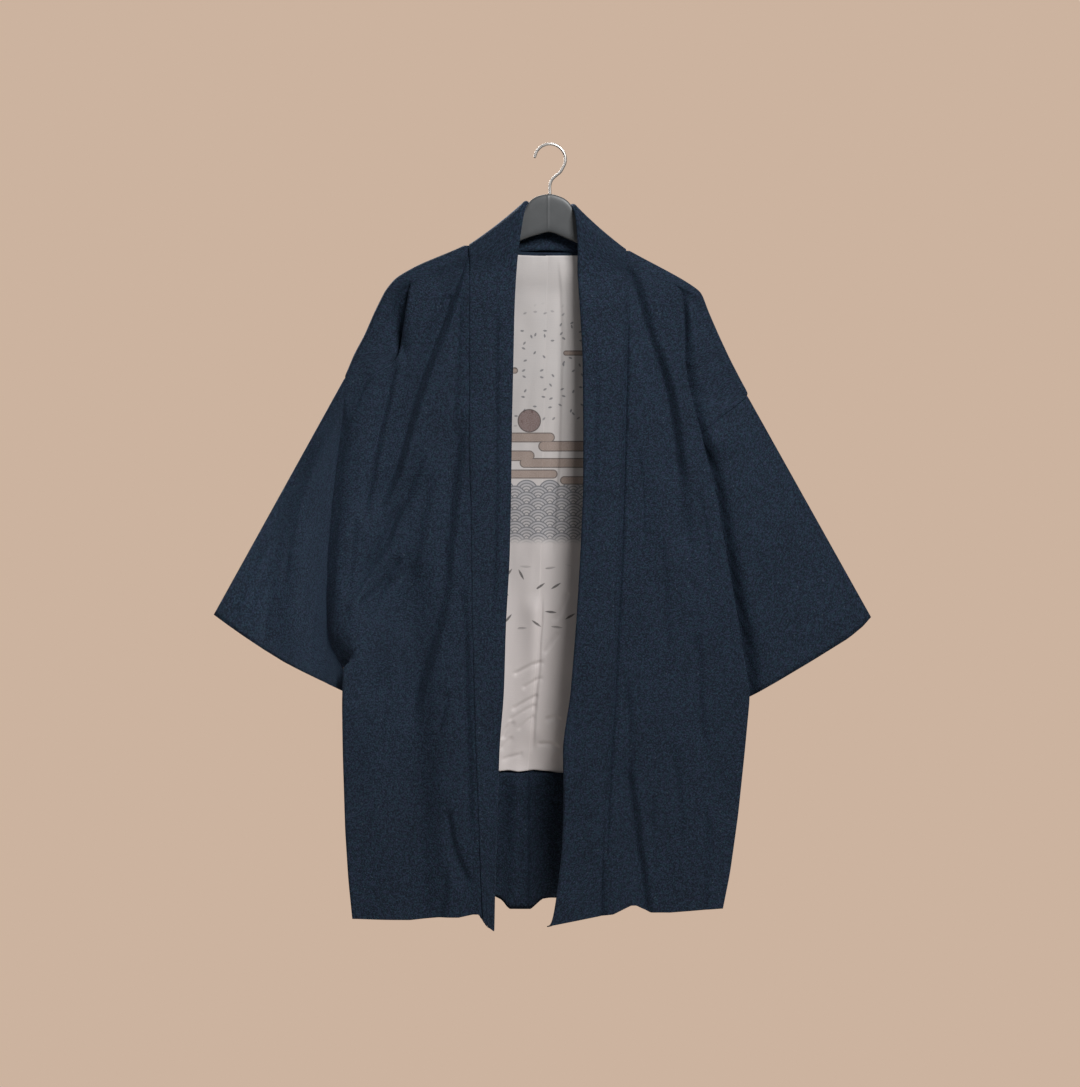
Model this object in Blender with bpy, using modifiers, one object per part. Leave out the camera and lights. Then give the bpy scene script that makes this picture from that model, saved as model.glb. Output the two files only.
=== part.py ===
"""Men's haori jacket hanging on a flat hanger, open down the front.

Metres, +Z up. The origin is the seat inside the top of the hanger's hook, the front faces -Y, and the
wearer's left side is at +X. Sizes below are in millimetres.

The cloth hangs as it is cut: each body length runs from the front hem over the shoulder to the back
hem, its outer part drops past the hanger's end into a pleat behind the front's edge, the sleeve is
sewn to that hidden part, and a gusset closes the side below the sleeve.
"""

import math
from collections import namedtuple

import bmesh
import bpy

MM = 0.001

# Driving dimensions, mm
CLOTH = 1.4            # wall of one layer of lined crepe
COLLAR_LEAF = 2.0      # wall of one leaf of the collar, doubled cloth
SEAM_GAP = 0.3         # between pieces at a seam
LAYER = 4.4            # from one layer of the side pleat to the next
HEM_Z = -955.0         # the level of the hem at the sides
HEM_EASE_Z = -800.0    # above this the weave is level, below it follows the hem's waves
BACK_SHARE = 0.84      # depth of the back as a share of the front's
SHOULDER_ROUND = 10.4  # half depth of the fold over the hanger
HANGER_HALF = 6.5      # half thickness of the hanger
HOOK_WIRE = 3.5        # diameter of the hook's wire
HOOK_RADIUS = 19.4     # of the bend, at the middle of the wire
LINING_GAP = 2.4       # from the middle of the back to the middle of the lining
CUFF_FOLD = 5.0        # half depth of the sleeve's folds at the cuff
CUFF_BULGE = 7.0       # how much more the cuff opens between its folds
ARM_BULGE = 2.0        # how much more the armhole opens between its top and its foot

# One row for each level of a side: the collar seam, the front's folded edge, the tuck behind it
# (below the armhole, the gusset's seam), the outline, and how far forward the front and the tuck lie.
Level = namedtuple("Level", "z seam edge tuck outer front tuck_depth")

# The wearer's right side, at -X
RIGHT_LEVELS = (
    Level(-129, -100, -107, -107, -107, 10.4, 10.4),
    Level(-136, -100, -124, -124, -124, 10.4, 10.4),
    Level(-152, -100, -164, -164, -164, 10.6, 10.4),
    Level(-168, -100, -193, -193, -193, 12.5, 10.4),
    Level(-182, -100, -196, -190, -206, 16.5, 10.6),
    Level(-208, -100, -197, -186, -219, 19, 10.6),
    Level(-238, -100, -198, -186, -232, 21, 11.5),
    Level(-268, -100, -200, -189, -248, 23.5, 12.5),
    Level(-291, -100, -203, -193, -257, 24.6, 13.5),
    Level(-330, -100, -207, -199, -259, 27, 15),
    Level(-370, -100, -264, -264, -264, 29.5, 15),
    Level(-445, -98, -273, -273, -273, 34, 15),
    Level(-520, -97, -280, -280, -280, 38, 16),
    Level(-595, -96, -276, -276, -276, 41, 18.5),
    Level(-618, -95, -258, -250, -272, 41.7, 20),
    Level(-655, -94, -258, -248, -262, 42.9, 20),
    Level(-700, -93, -259, -238, -238, 44.3, 22),
    Level(-762, -91, -258, -236, -236, 46, 25),
    Level(-852, -87, -255, -235, -235, 48, 28),
    Level(-910, -85, -251, -236, -236, 49, 29),
    Level(-955, -82, -246, -236, -236, 50, 30),
)

# The wearer's left side, at +X
LEFT_LEVELS = (
    Level(-134.5, 94, 100, 100, 100, 10.4, 10.4),
    Level(-142, 94, 112, 112, 112, 10.4, 10.4),
    Level(-156, 94, 138, 138, 138, 10.6, 10.4),
    Level(-171, 93, 166, 166, 166, 12.5, 10.4),
    Level(-185, 93, 169, 163, 189, 17, 10.6),
    Level(-208, 92, 170, 156, 198, 19, 10.6),
    Level(-238, 92, 170, 147, 211, 21, 11.5),
    Level(-268, 91, 171, 138, 225, 23.5, 12.5),
    Level(-298, 90, 176, 129, 239, 25, 13.5),
    Level(-314, 90, 181, 125, 245, 26, 14),
    Level(-345, 90, 190, 116, 209, 28, 15),
    Level(-378, 89, 200, 108, 171, 30, 16),
    Level(-412, 88, 207, 99, 131, 32, 16),
    Level(-445, 87, 212, 91, 99, 34, 15),
    Level(-520, 83, 223, 104, 104, 38, 17),
    Level(-595, 79, 235, 124, 124, 41, 17),
    Level(-689, 75, 250, 156, 156, 44, 22),
    Level(-762, 71, 242, 181, 181, 46, 25),
    Level(-838, 67, 234, 196, 196, 48, 28),
    Level(-910, 64, 224, 203, 203, 49, 29),
    Level(-955, 62, 215, 206, 206, 50, 30),
)

# Where the collar is folded along the front opening
Opening = namedtuple("Opening", "z right left")
OPENING = (
    Opening(-165, -43, 35),
    Opening(-205, -45, 38),
    Opening(-258, -46, 41),
    Opening(-345, -48, 42),
    Opening(-432, -49, 42),
    Opening(-520, -51, 38),
    Opening(-600, -56, 33),
    Opening(-690, -59, 26),
    Opening(-750, -64, 16),
    Opening(-820, -66, 18),
    Opening(-882, -68, 15),
    Opening(-945, -69, 5),
    Opening(-976, -70, -4),
)

# The collar round the neck: its seam to the body, its folded top and its free edge, from the front up
# over the shoulder to the middle of the back. out is the distance from the middle of the neck.
Neck = namedtuple("Neck", "seam_out seam_y seam_z fold_out fold_y fold_z free_out free_y free_z")
NECK_RIGHT = (
    Neck(99, -11, -148, 37, -18, -118, 105, -16.5, -146),
    Neck(98, -9, -132, 31, -16.5, -82, 107, -13, -128),
    Neck(95, 1, -126.5, 27, 0, -71.5, 106, 1, -123.5),
    Neck(86, 10.4, -128.4, 24, 15, -74, 100, 16.5, -129.5),
    Neck(46, 10.6, -132.5, 14, 18, -78, 53, 17, -141),
)
NECK_LEFT = (
    Neck(93, -11, -152, 34, -18, -120, 99, -16.5, -150),
    Neck(92, -9, -137, 30, -16.5, -84, 101, -13, -133),
    Neck(89, 1, -132, 26, 0, -74.5, 100, 1, -129),
    Neck(81, 10.4, -132.5, 23, 15, -76.5, 95, 16.5, -135),
    Neck(44, 10.6, -134, 13, 18, -79, 51, 17, -142),
)
NECK_BACK = Neck(0, 10.6, -134.3, 0, 18.5, -79, 0, 17.5, -143)

# Sleeve corners at the cuff: the top fold and the lower fold
Cuff = namedtuple("Cuff", "top_x top_z low_x low_z")
CUFF_RIGHT = Cuff(-421, -589, -250, -689)
CUFF_LEFT = Cuff(402, -592, 177, -732)

# Where the sleeve is sewn to a side: the levels at the shoulder and at the gusset
Armhole = namedtuple("Armhole", "top_z foot_z")
ARMHOLE_RIGHT = Armhole(-291, -655)
ARMHOLE_LEFT = Armhole(-314, -445)

# Hem height across a front, from the side to the collar
Hem = namedtuple("Hem", "x z")
HEM_RIGHT = (Hem(-246, -967), Hem(-175, -969), Hem(-114, -966), Hem(-89, -961), Hem(-72, -980), Hem(-60, -988))
HEM_LEFT = (Hem(-6, -977), Hem(16, -976), Hem(54, -965), Hem(99, -953), Hem(126, -960), Hem(215, -954))
HEM_BACK = (Hem(-246, -962), Hem(-60, -948), Hem(-40, -956), Hem(0, -944), Hem(215, -952))
CENTRE_SEAM = (Hem(0, -134), Hem(-11, -595), Hem(-25, -780), Hem(-25, -960))

# Soft troughs down the fronts: a straight run from top to bottom, its half width and its depth
Trough = namedtuple("Trough", "top_x top_z low_x low_z half depth")
TROUGHS_RIGHT = (
    Trough(-108, -150, -196, -440, 26, 9),
    Trough(-182, -450, -232, -590, 24, 6),
    Trough(-200, -320, -250, -530, 18, 4),
    Trough(-118, -560, -148, -940, 40, 9),
)
TROUGHS_LEFT = (
    Trough(98, -150, 165, -430, 26, 8),
    Trough(118, -640, 122, -940, 24, 5),
)
TROUGHS_BACK = (
    Trough(-104, -150, -190, -420, 30, 5),
    Trough(100, -150, 168, -430, 30, 5),
    Trough(-92, -560, -120, -930, 44, 6),
    Trough(96, -600, 104, -930, 40, 6),
)

PANEL_STEPS = 4        # columns between the collar seam and the folded edge
PANEL_SHARE = 0.75     # of the shoulder above the pleat that the panel columns cover
FOLD_REACH = 3.0       # from a fold's crest to where the cloth is straight again
SLEEVE_RINGS = 7
GUSSET_IN = (9.0, 24.0)  # how far the gusset's fold lies in from its seams, at its top and at the hem
LINING_TOP_Z = -137.5
LINING_HEM_Z = -786.0
LINING_CLEAR = 8.0     # from the lining's side to the tuck, and between its last columns at least

LINING_WALL = 1.0
NECK_CENTRE_Z = -135.0   # the back neck seam at the centre seam
NECK_EASE_Z = -175.0     # below this the back's weave is level
ARM_GAP = 1.0            # from the body to the sleeve and the gusset along the cloth
FOOT_ROUND = 3.0         # how far the sleeve's lower fold stands off the armhole's foot
GUSSET_START = 10.0      # how far below the armhole's foot the gusset starts
GUSSET_ACROSS = (-1.0, -0.6, -0.2, 0.0, 0.2, 0.6, 1.0)
COLLAR_SEAM = 0.9        # from the front's edge to the collar's inner leaf
COLLAR_LAP = 5.0         # how far the outer leaf covers the front's edge
COLLAR_TURN = 2.5        # from the fold's crest to where a leaf is flat

Place = namedtuple("Place", "x z")
HANGER_BEVEL = 2.5
HANGER_OUTLINE = (
    Place(0, -64), Place(-14, -65.5), Place(-23, -70), Place(-33, -83), Place(-60, -105), Place(-96, -135),
    Place(-122, -139), Place(-162, -156), Place(-184, -167), Place(-188, -172), Place(-186, -180),
    Place(-150, -172), Place(-80, -140), Place(-31, -116), Place(-2, -109), Place(31, -121),
    Place(80, -146), Place(140, -180), Place(164, -186), Place(166, -180), Place(158, -172), Place(138, -160),
    Place(112, -147), Place(90, -140), Place(58, -111), Place(33, -88), Place(21, -71), Place(13, -66),
)
HOOK_STEM = ((0.0, -63.7), (0.0, -49.0), (3.0, -42.0), (13.5, -33.0))
HOOK_START = -36.0       # degrees round the bend, from +X
HOOK_END = 200.0
HOOK_STEPS = 14

COLLECTION = bpy.data.collections.new("haori_on_hanger")


def clear_scene():
    for obj in list(bpy.data.objects):
        bpy.data.objects.remove(obj, do_unlink=True)
    bpy.context.scene.collection.children.link(COLLECTION)


def material(name, colour, roughness, metallic=0.0):
    made = bpy.data.materials.new(name)
    made.use_nodes = True
    shader = made.node_tree.nodes["Principled BSDF"]
    shader.inputs["Base Color"].default_value = (*colour, 1.0)
    shader.inputs["Roughness"].default_value = roughness
    shader.inputs["Metallic"].default_value = metallic
    return made


def between(a, b, share):
    return a + (b - a) * share


def blend(p, q, share):
    return tuple(between(a, b, share) for a, b in zip(p, q))


def read(rows, at, wanted, where="z"):
    """The value of one column where another column passes a value, straight between the rows."""
    keys = [getattr(row, where) for row in rows]
    falling = keys[0] > keys[-1]
    for above, below in zip(rows, rows[1:]):
        first, second = getattr(above, where), getattr(below, where)
        inside = second <= at <= first if falling else first <= at <= second
        if inside and first != second:
            share = (at - first) / (second - first)
            return between(getattr(above, wanted), getattr(below, wanted), share)
    before_all = (at > keys[0]) if falling else (at < keys[0])
    return getattr(rows[0] if before_all else rows[-1], wanted)


def trough_depth(troughs, x, z):
    """How deep the soft troughs are at a place on the cloth."""
    total = 0.0
    for trough in troughs:
        share = (trough.top_z - z) / (trough.top_z - trough.low_z)
        if 0 < share < 1:
            away = (x - between(trough.top_x, trough.low_x, share)) / trough.half
            total += trough.depth * math.sin(math.pi * share) ** 0.6 * math.exp(-1.6 * away * away)
    return total


def back_depth(depth):
    """The back hangs flatter than the front below the shoulder."""
    return SHOULDER_ROUND + (depth - SHOULDER_ROUND) * BACK_SHARE


class Side:
    """One side of the jacket: its tables, and the places on its cloth worked out from them."""

    def __init__(self, name, out, levels, troughs, back_troughs, hem, neck, cuff, armhole):
        self.name = name
        self.out = out
        self.levels = levels
        self.troughs = troughs
        self.back_troughs = back_troughs
        self.hem = hem
        self.neck = neck
        self.cuff = cuff
        self.armhole_top = armhole.top_z
        self.armhole_foot = armhole.foot_z

    def at(self, z, wanted):
        return read(self.levels, z, wanted)

    def front(self, x, z):
        """Depth of the front panel, in front of the hanger's middle."""
        return self.at(z, "front") - trough_depth(self.troughs, x, z)

    def round_reach(self, z):
        """How far along X the round of the top fold reaches: further where the fold lies flatter."""
        slope = abs(self.at(z + 5, "outer") - self.at(z - 5, "outer")) / 10
        room = 0.8 * abs(self.at(z, "outer") - self.at(z, "seam"))
        return min(SHOULDER_ROUND * slope, room)

    def armhole_depth(self, z):
        share = (self.armhole_top - z) / (self.armhole_top - self.armhole_foot)
        return SHOULDER_ROUND + ARM_BULGE * math.sin(math.pi * min(max(share, 0.0), 1.0))

    def height(self, x, z, back):
        """A level's own height, apart from the dip at the back neck and the waves of the hem."""
        top = self.levels[0]
        if back and z > NECK_EASE_Z and abs(x) < abs(top.seam):
            dip = between(NECK_CENTRE_Z, top.z, (x / top.seam) ** 2) - top.z
            z += dip * (z - NECK_EASE_Z) / (top.z - NECK_EASE_Z)
        if z < HEM_EASE_Z:
            hem = HEM_BACK if back else self.hem
            z += (HEM_EASE_Z - z) / (HEM_EASE_Z - HEM_Z) * (read(hem, x, "z", "x") - HEM_Z)
        return z


def half_level(side, level, inner_x, troughs, scaled):
    """(x, depth) across a panel, round its folded edge, in to the tuck and out to the armhole."""
    out = side.out
    end_x = level.outer
    if level.z >= side.armhole_top:
        end_x -= out * side.round_reach(level.z)
    panel = scaled(level.front)
    end_depth = side.armhole_depth(level.z)
    if level.outer == level.edge:
        points = []
        for step in range(PANEL_STEPS):
            points.append((between(inner_x, end_x, PANEL_SHARE * step / PANEL_STEPS), panel))
        for step in range(9):
            x = between(inner_x, end_x, between(PANEL_SHARE, 1.0, step / 8))
            points.append((x, between(panel, end_depth, step / 8)))
        points = [(x, depth - trough_depth(troughs, x, level.z)) for x, depth in points[:-1]]
        return points + [(end_x, end_depth)]
    turn_x = level.edge - out * FOLD_REACH
    near_x = level.tuck + out * FOLD_REACH
    tucked = scaled(level.tuck_depth)
    points = []
    for step in range(PANEL_STEPS + 1):
        points.append((between(inner_x, turn_x, step / PANEL_STEPS), panel))
    points.append((level.edge, panel - LAYER / 2))
    points.append((turn_x, panel - LAYER))
    points.append((between(turn_x, near_x, 0.5), between(panel - LAYER, tucked + LAYER / 2, 0.5)))
    points.append((near_x, tucked + LAYER / 2))
    points.append((level.tuck, tucked))
    points.append((near_x, tucked - LAYER / 2))
    points.append((between(near_x, end_x, 0.5), between(tucked - LAYER / 2, end_depth, 0.5)))
    points = [(x, depth - trough_depth(troughs, x, level.z)) for x, depth in points]
    points.append((end_x, end_depth))
    return points


TUCK_COLUMN = PANEL_STEPS + 5
END_COLUMN = PANEL_STEPS + 8
ROUND_STEPS = 4


def placed(side, level, half, back):
    """Half a level's points in space."""
    sign = 1 if back else -1
    return [(x, sign * depth, side.height(x, level.z, back)) for x, depth in half]


def body_row(side, level):
    """A whole level, from the front's collar seam out, over the top fold and in to the centre back."""
    front = half_level(side, level, level.seam, side.troughs, float)
    centre_x = read(CENTRE_SEAM, level.z, "x", "z") + side.out * SEAM_GAP / 2
    back = half_level(side, level, centre_x, side.back_troughs, back_depth)
    fold = []
    reach = side.round_reach(level.z)
    for step in range(1, ROUND_STEPS):
        turn = math.pi * step / ROUND_STEPS
        x = level.outer - side.out * reach * (1 - math.sin(turn))
        fold.append((x, -SHOULDER_ROUND * math.cos(turn), level.z))
    return placed(side, level, front, False) + fold + placed(side, level, back, True)[::-1]


def sheet(name, rows, wall, finish, keep=None, closed=False):
    """A wall of cloth through rows of points. keep(row, column) says which cells have cloth."""
    mesh = bpy.data.meshes.new(name)
    shape = bmesh.new()
    grid = [[shape.verts.new([value * MM for value in point]) for point in row] for row in rows]
    columns = len(rows[0])
    for row in range(len(rows) - 1):
        for column in range(columns if closed else columns - 1):
            if keep is None or keep(row, column):
                beside = (column + 1) % columns
                corners = (grid[row][column], grid[row + 1][column], grid[row + 1][beside], grid[row][beside])
                shape.faces.new(corners)
    loose = [vertex for vertex in shape.verts if not vertex.link_faces]
    bmesh.ops.delete(shape, geom=loose, context="VERTS")
    bmesh.ops.triangulate(shape, faces=shape.faces[:])
    shape.to_mesh(mesh)
    shape.free()
    obj = bpy.data.objects.new(name, mesh)
    COLLECTION.objects.link(obj)
    thickness = obj.modifiers.new("wall", "SOLIDIFY")
    thickness.thickness = wall * MM
    thickness.offset = 0.0
    mesh.materials.append(finish)
    mesh.shade_smooth()
    return obj


def build_body(side, finish):
    """One body length: front, shoulder and back in one piece of cloth, slit at the side below the armhole."""
    rows = [body_row(side, level) for level in side.levels]
    heights = [level.z for level in side.levels]
    last = len(rows[0]) - 1

    def has_cloth(row, column):
        below = heights[row + 1]
        from_seam = min(column, last - 1 - column)
        if from_seam < TUCK_COLUMN:
            return True
        if from_seam < END_COLUMN:
            return below >= side.armhole_foot
        return below >= side.armhole_top

    sheet("body_" + side.name, rows, CLOTH, finish, has_cloth)
    return rows


def armhole_ring(side, rows):
    """The armhole's edge on the body, from the foot up its front, over the top fold and down its back."""
    last = len(rows[0]) - 1
    front, back, top = [], [], []
    for level, row in zip(side.levels, rows):
        if side.armhole_foot <= level.z <= side.armhole_top:
            front.insert(0, row[END_COLUMN])
            back.append(row[last - END_COLUMN])
            if level.z == side.armhole_top:
                top = row[END_COLUMN + 1:last - END_COLUMN]
    foot = blend(front[0], back[-1], 0.5)
    foot = (foot[0] - side.out * FOOT_ROUND, foot[1], foot[2] - FOOT_ROUND)
    return front + top + back + [foot]


def build_sleeve(side, rows, finish):
    """A sleeve: one folded rectangle, from the armhole down to the open cuff."""
    ring = armhole_ring(side, rows)
    cuff = side.cuff
    top_x, _, top_z = ring[len(ring) // 2 - 1]
    foot_x, _, foot_z = ring[-1]
    span = math.hypot(foot_x - top_x, foot_z - top_z)
    off_x = side.out * abs(foot_z - top_z) / span * ARM_GAP
    off_z = -abs(foot_x - top_x) / span * ARM_GAP
    rings = []
    for step in range(SLEEVE_RINGS):
        share = step / (SLEEVE_RINGS - 1)
        placed_ring = []
        for x, y, z in ring:
            low = min(math.hypot(x - top_x, z - top_z) / span, 1.0)
            depth = CUFF_FOLD * min(1.0, abs(y) / SHOULDER_ROUND) + CUFF_BULGE * math.sin(math.pi * low)
            cuff_point = (
                between(cuff.top_x, cuff.low_x, low),
                math.copysign(depth, y) if abs(y) > 0.01 else 0.0,
                between(cuff.top_z, cuff.low_z, low),
            )
            placed_ring.append(blend((x + off_x, y, z + off_z), cuff_point, share))
        rings.append(placed_ring)
    sheet("sleeve_" + side.name, rings, CLOTH, finish, closed=True)


def build_gusset(side, finish):
    """A gusset: a strip from the armhole's foot to the hem, folded inwards between front and back."""
    top_z = side.armhole_foot - GUSSET_START
    heights = [top_z] + [level.z for level in side.levels if level.z < side.armhole_foot]
    rows = []
    for z in heights:
        tuck_x = side.at(z, "tuck")
        inward = between(GUSSET_IN[0], GUSSET_IN[1], (top_z - z) / (top_z - HEM_Z))
        fold_x = tuck_x - side.out * inward
        seam_x = tuck_x - side.out * ARM_GAP
        rows.append([])
        for across in GUSSET_ACROSS:
            depth = side.at(z, "tuck_depth")
            if across < 0:
                depth -= trough_depth(side.troughs, tuck_x, z)
            else:
                depth = back_depth(depth) - trough_depth(side.back_troughs, tuck_x, z)
            x = between(fold_x, seam_x, abs(across) ** 1.4)
            rows[-1].append((x, across * depth, side.height(x, z, across > 0)))
    sheet("gusset_" + side.name, rows, CLOTH, finish)


def back_panel(side, rows, z):
    """The back panel's points at a height, from the centre seam out to where its edge turns."""
    last = len(rows[0]) - 1
    panels = [[row[last - column] for column in range(PANEL_STEPS + 1)] for row in rows]
    for upper, lower, above, below in zip(side.levels, side.levels[1:], panels, panels[1:]):
        if lower.z <= z <= upper.z:
            share = (z - upper.z) / (lower.z - upper.z)
            return [blend(p, q, share) for p, q in zip(above, below)]
    return panels[-1]


def on_run(points, x):
    """The point of a run of points at a place along X."""
    for first, second in zip(points, points[1:]):
        if min(first[0], second[0]) <= x <= max(first[0], second[0]):
            return blend(first, second, (x - first[0]) / (second[0] - first[0]))
    return points[-1]


def inside_back(side, rows, name, top_z, low_z, wall, finish):
    """A sheet made from the back panel's points, moved in: from the centre seam out to the tuck."""
    heights = [top_z] + [level.z for level in side.levels if low_z < level.z < top_z] + [low_z]
    inside = []
    for z in heights:
        panel = back_panel(side, rows, z)
        limit = min(side.out * side.at(z, "tuck"), side.out * panel[-1][0]) - LINING_CLEAR
        inside.append([])
        for column, point in enumerate(panel):
            furthest = limit - LINING_CLEAR * (PANEL_STEPS - column)
            x, y, height = on_run(panel, side.out * min(side.out * point[0], furthest))
            start = side.out * SEAM_GAP if column == 0 else 0.0
            inside[-1].append((x + start, y - LINING_GAP, height))
    sheet(name + side.name, inside, wall, finish)


def collar_leaf(seam, fold, free):
    """Points across the folded band: the inner leaf up to its fold and the outer leaf down over it."""
    along = [f - s for s, f in zip(seam, fold)]
    width = math.sqrt(sum(value * value for value in along))
    along = [value / width for value in along]
    lift = [f - s for s, f in zip(seam, free)]
    slip = sum(a * b for a, b in zip(along, lift))
    lift = [a - slip * b for a, b in zip(lift, along)]
    length = math.sqrt(sum(value * value for value in lift))
    lift = [value / length for value in lift]

    def off_fold(back, up):
        return tuple(f - back * a + up * b for f, a, b in zip(fold, along, lift))

    inner_end = off_fold(COLLAR_TURN, 0.0)
    outer_start = off_fold(COLLAR_TURN, LAYER)
    points = [blend(seam, inner_end, share) for share in (0.0, 0.35, 0.7, 1.0)]
    points.append(off_fold(0.0, LAYER / 2))
    points += [blend(outer_start, free, share) for share in (0.0, 0.3, 0.65, 1.0)]
    return points


def front_collar(side, opening_column):
    """The collar's stations down one front, from the top to the hem."""
    rows = []
    for opening in OPENING:
        z = opening.z
        fold_x = getattr(opening, opening_column)
        seam_x = side.at(z, "seam") - side.out * COLLAR_SEAM
        free_x = side.at(z, "seam") + side.out * COLLAR_LAP
        depth = side.front(seam_x, z)
        level_z = max(z, HEM_Z)
        heights = [side.height(x, level_z, False) for x in (seam_x, fold_x, free_x)]
        rows.append(
            collar_leaf(
                (seam_x, -depth, heights[0]),
                (fold_x, -depth, heights[1]),
                (free_x, -side.front(free_x, z) - LAYER, heights[2]),
            )
        )
    return rows


def neck_collar(out, stations):
    return [
        collar_leaf(
            (out * row.seam_out, row.seam_y, row.seam_z),
            (out * row.fold_out, row.fold_y, row.fold_z),
            (out * row.free_out, row.free_y, row.free_z),
        )
        for row in stations
    ]


def build_collar(right, left, finish):
    """The collar: one folded band up the right front, round the back of the neck and down the left."""
    rows = front_collar(right, "right")[::-1] + neck_collar(right.out, NECK_RIGHT)
    rows += neck_collar(1, (NECK_BACK,)) + neck_collar(left.out, NECK_LEFT)[::-1]
    rows += front_collar(left, "left")
    sheet("collar", rows, COLLAR_LEAF, finish)


def build_hanger(finish):
    """The hanger's body: one flat outline with rounded edges."""
    outline = bpy.data.curves.new("hanger", "CURVE")
    outline.dimensions = "2D"
    outline.fill_mode = "BOTH"
    outline.extrude = (HANGER_HALF - HANGER_BEVEL) * MM
    outline.bevel_depth = HANGER_BEVEL * MM
    outline.bevel_resolution = 1
    outline.offset = -HANGER_BEVEL * MM
    run = outline.splines.new("POLY")
    run.points.add(len(HANGER_OUTLINE) - 1)
    for point, place in zip(run.points, HANGER_OUTLINE):
        point.co = (place.x * MM, place.z * MM, 0.0, 1.0)
    run.use_cyclic_u = True
    obj = bpy.data.objects.new("hanger", outline)
    obj.rotation_euler = (math.pi / 2, 0.0, 0.0)
    COLLECTION.objects.link(obj)
    outline.materials.append(finish)


def build_hook(finish):
    """The hook: a wire up from the hanger's neck and over in one bend, its seat at the origin."""
    centre_z = HOOK_WIRE / 2 - HOOK_RADIUS
    points = [Place(*place) for place in HOOK_STEM]
    for step in range(HOOK_STEPS + 1):
        turn = math.radians(between(HOOK_START, HOOK_END, step / HOOK_STEPS))
        points.append(Place(HOOK_RADIUS * math.cos(turn), centre_z + HOOK_RADIUS * math.sin(turn)))
    wire = bpy.data.curves.new("hanger_hook", "CURVE")
    wire.dimensions = "3D"
    wire.bevel_depth = HOOK_WIRE / 2 * MM
    wire.bevel_resolution = 2
    wire.use_fill_caps = True
    run = wire.splines.new("POLY")
    run.points.add(len(points) - 1)
    for point, place in zip(run.points, points):
        point.co = (place.x * MM, 0.0, place.z * MM, 1.0)
    obj = bpy.data.objects.new("hanger_hook", wire)
    COLLECTION.objects.link(obj)
    wire.materials.append(finish)


def main():
    clear_scene()
    crepe = material("navy_crepe", (0.014, 0.022, 0.036), 0.85)
    silk = material("grey_silk", (0.40, 0.36, 0.34), 0.45)
    moulded = material("dark_moulding", (0.11, 0.112, 0.115), 0.4)
    steel = material("hook_steel", (0.55, 0.53, 0.50), 0.3, 1.0)
    right = Side(
        "right", -1, RIGHT_LEVELS, TROUGHS_RIGHT, TROUGHS_BACK, HEM_RIGHT, NECK_RIGHT, CUFF_RIGHT, ARMHOLE_RIGHT
    )
    left = Side("left", 1, LEFT_LEVELS, TROUGHS_LEFT, TROUGHS_BACK, HEM_LEFT, NECK_LEFT, CUFF_LEFT, ARMHOLE_LEFT)
    for side in (right, left):
        rows = build_body(side, crepe)
        build_sleeve(side, rows, crepe)
        build_gusset(side, crepe)
        inside_back(side, rows, "lining_", LINING_TOP_Z, LINING_HEM_Z, LINING_WALL, silk)
        inside_back(side, rows, "hem_facing_", LINING_HEM_Z - 1, HEM_Z + 3, CLOTH, crepe)
    build_collar(right, left, crepe)
    build_hanger(moulded)
    build_hook(steel)


main()
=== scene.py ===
import math
from collections import namedtuple

import bpy
import numpy as np
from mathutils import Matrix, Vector, noise


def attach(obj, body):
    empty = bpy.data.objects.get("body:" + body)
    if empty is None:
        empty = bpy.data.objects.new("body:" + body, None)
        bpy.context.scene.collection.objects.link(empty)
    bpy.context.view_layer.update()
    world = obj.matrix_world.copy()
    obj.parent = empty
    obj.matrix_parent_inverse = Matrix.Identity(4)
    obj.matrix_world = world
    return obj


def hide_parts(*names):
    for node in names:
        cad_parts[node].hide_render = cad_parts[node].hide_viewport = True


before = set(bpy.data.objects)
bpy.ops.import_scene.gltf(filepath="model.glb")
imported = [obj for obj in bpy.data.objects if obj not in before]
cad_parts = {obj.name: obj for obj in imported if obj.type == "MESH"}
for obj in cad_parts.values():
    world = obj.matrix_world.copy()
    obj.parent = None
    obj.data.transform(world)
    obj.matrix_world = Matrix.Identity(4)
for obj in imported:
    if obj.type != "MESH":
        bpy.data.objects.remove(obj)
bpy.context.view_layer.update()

scene = bpy.context.scene

# =================================================================================================
# Camera, backdrop, floor and lights. A level camera faces the front of the jacket; the jacket hangs
# clear of a pale floor in soft studio light.

SENSOR_WIDTH = 36.0
LENS = 211.2
CAMERA_PLACE = (-0.0125, -8.0, -0.4994)

camera_data = bpy.data.cameras.new("camera")
camera_data.sensor_width = SENSOR_WIDTH
camera_data.lens = LENS
camera = bpy.data.objects.new("camera", camera_data)
camera.location = CAMERA_PLACE
camera.rotation_euler = (math.radians(90.0), 0.0, 0.0)
scene.collection.objects.link(camera)
scene.camera = camera
scene.view_settings.view_transform = "Standard"

BACKDROP = (0.604, 0.451, 0.347, 1.0)
ROOM_LIGHT = (0.95, 0.97, 1.0, 1.0)
ROOM_STRENGTH = 0.13

world = bpy.data.worlds.new("studio")
world.use_nodes = True
scene.world = world
room = world.node_tree
room.nodes.clear()
seen = room.nodes.new("ShaderNodeBackground")
seen.inputs["Color"].default_value = BACKDROP
lit = room.nodes.new("ShaderNodeBackground")
lit.inputs["Color"].default_value = ROOM_LIGHT
lit.inputs["Strength"].default_value = ROOM_STRENGTH
path = room.nodes.new("ShaderNodeLightPath")
choice = room.nodes.new("ShaderNodeMixShader")
shown = room.nodes.new("ShaderNodeOutputWorld")
room.links.new(path.outputs["Is Camera Ray"], choice.inputs["Fac"])
room.links.new(lit.outputs[0], choice.inputs[1])
room.links.new(seen.outputs[0], choice.inputs[2])
room.links.new(choice.outputs[0], shown.inputs["Surface"])

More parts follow.
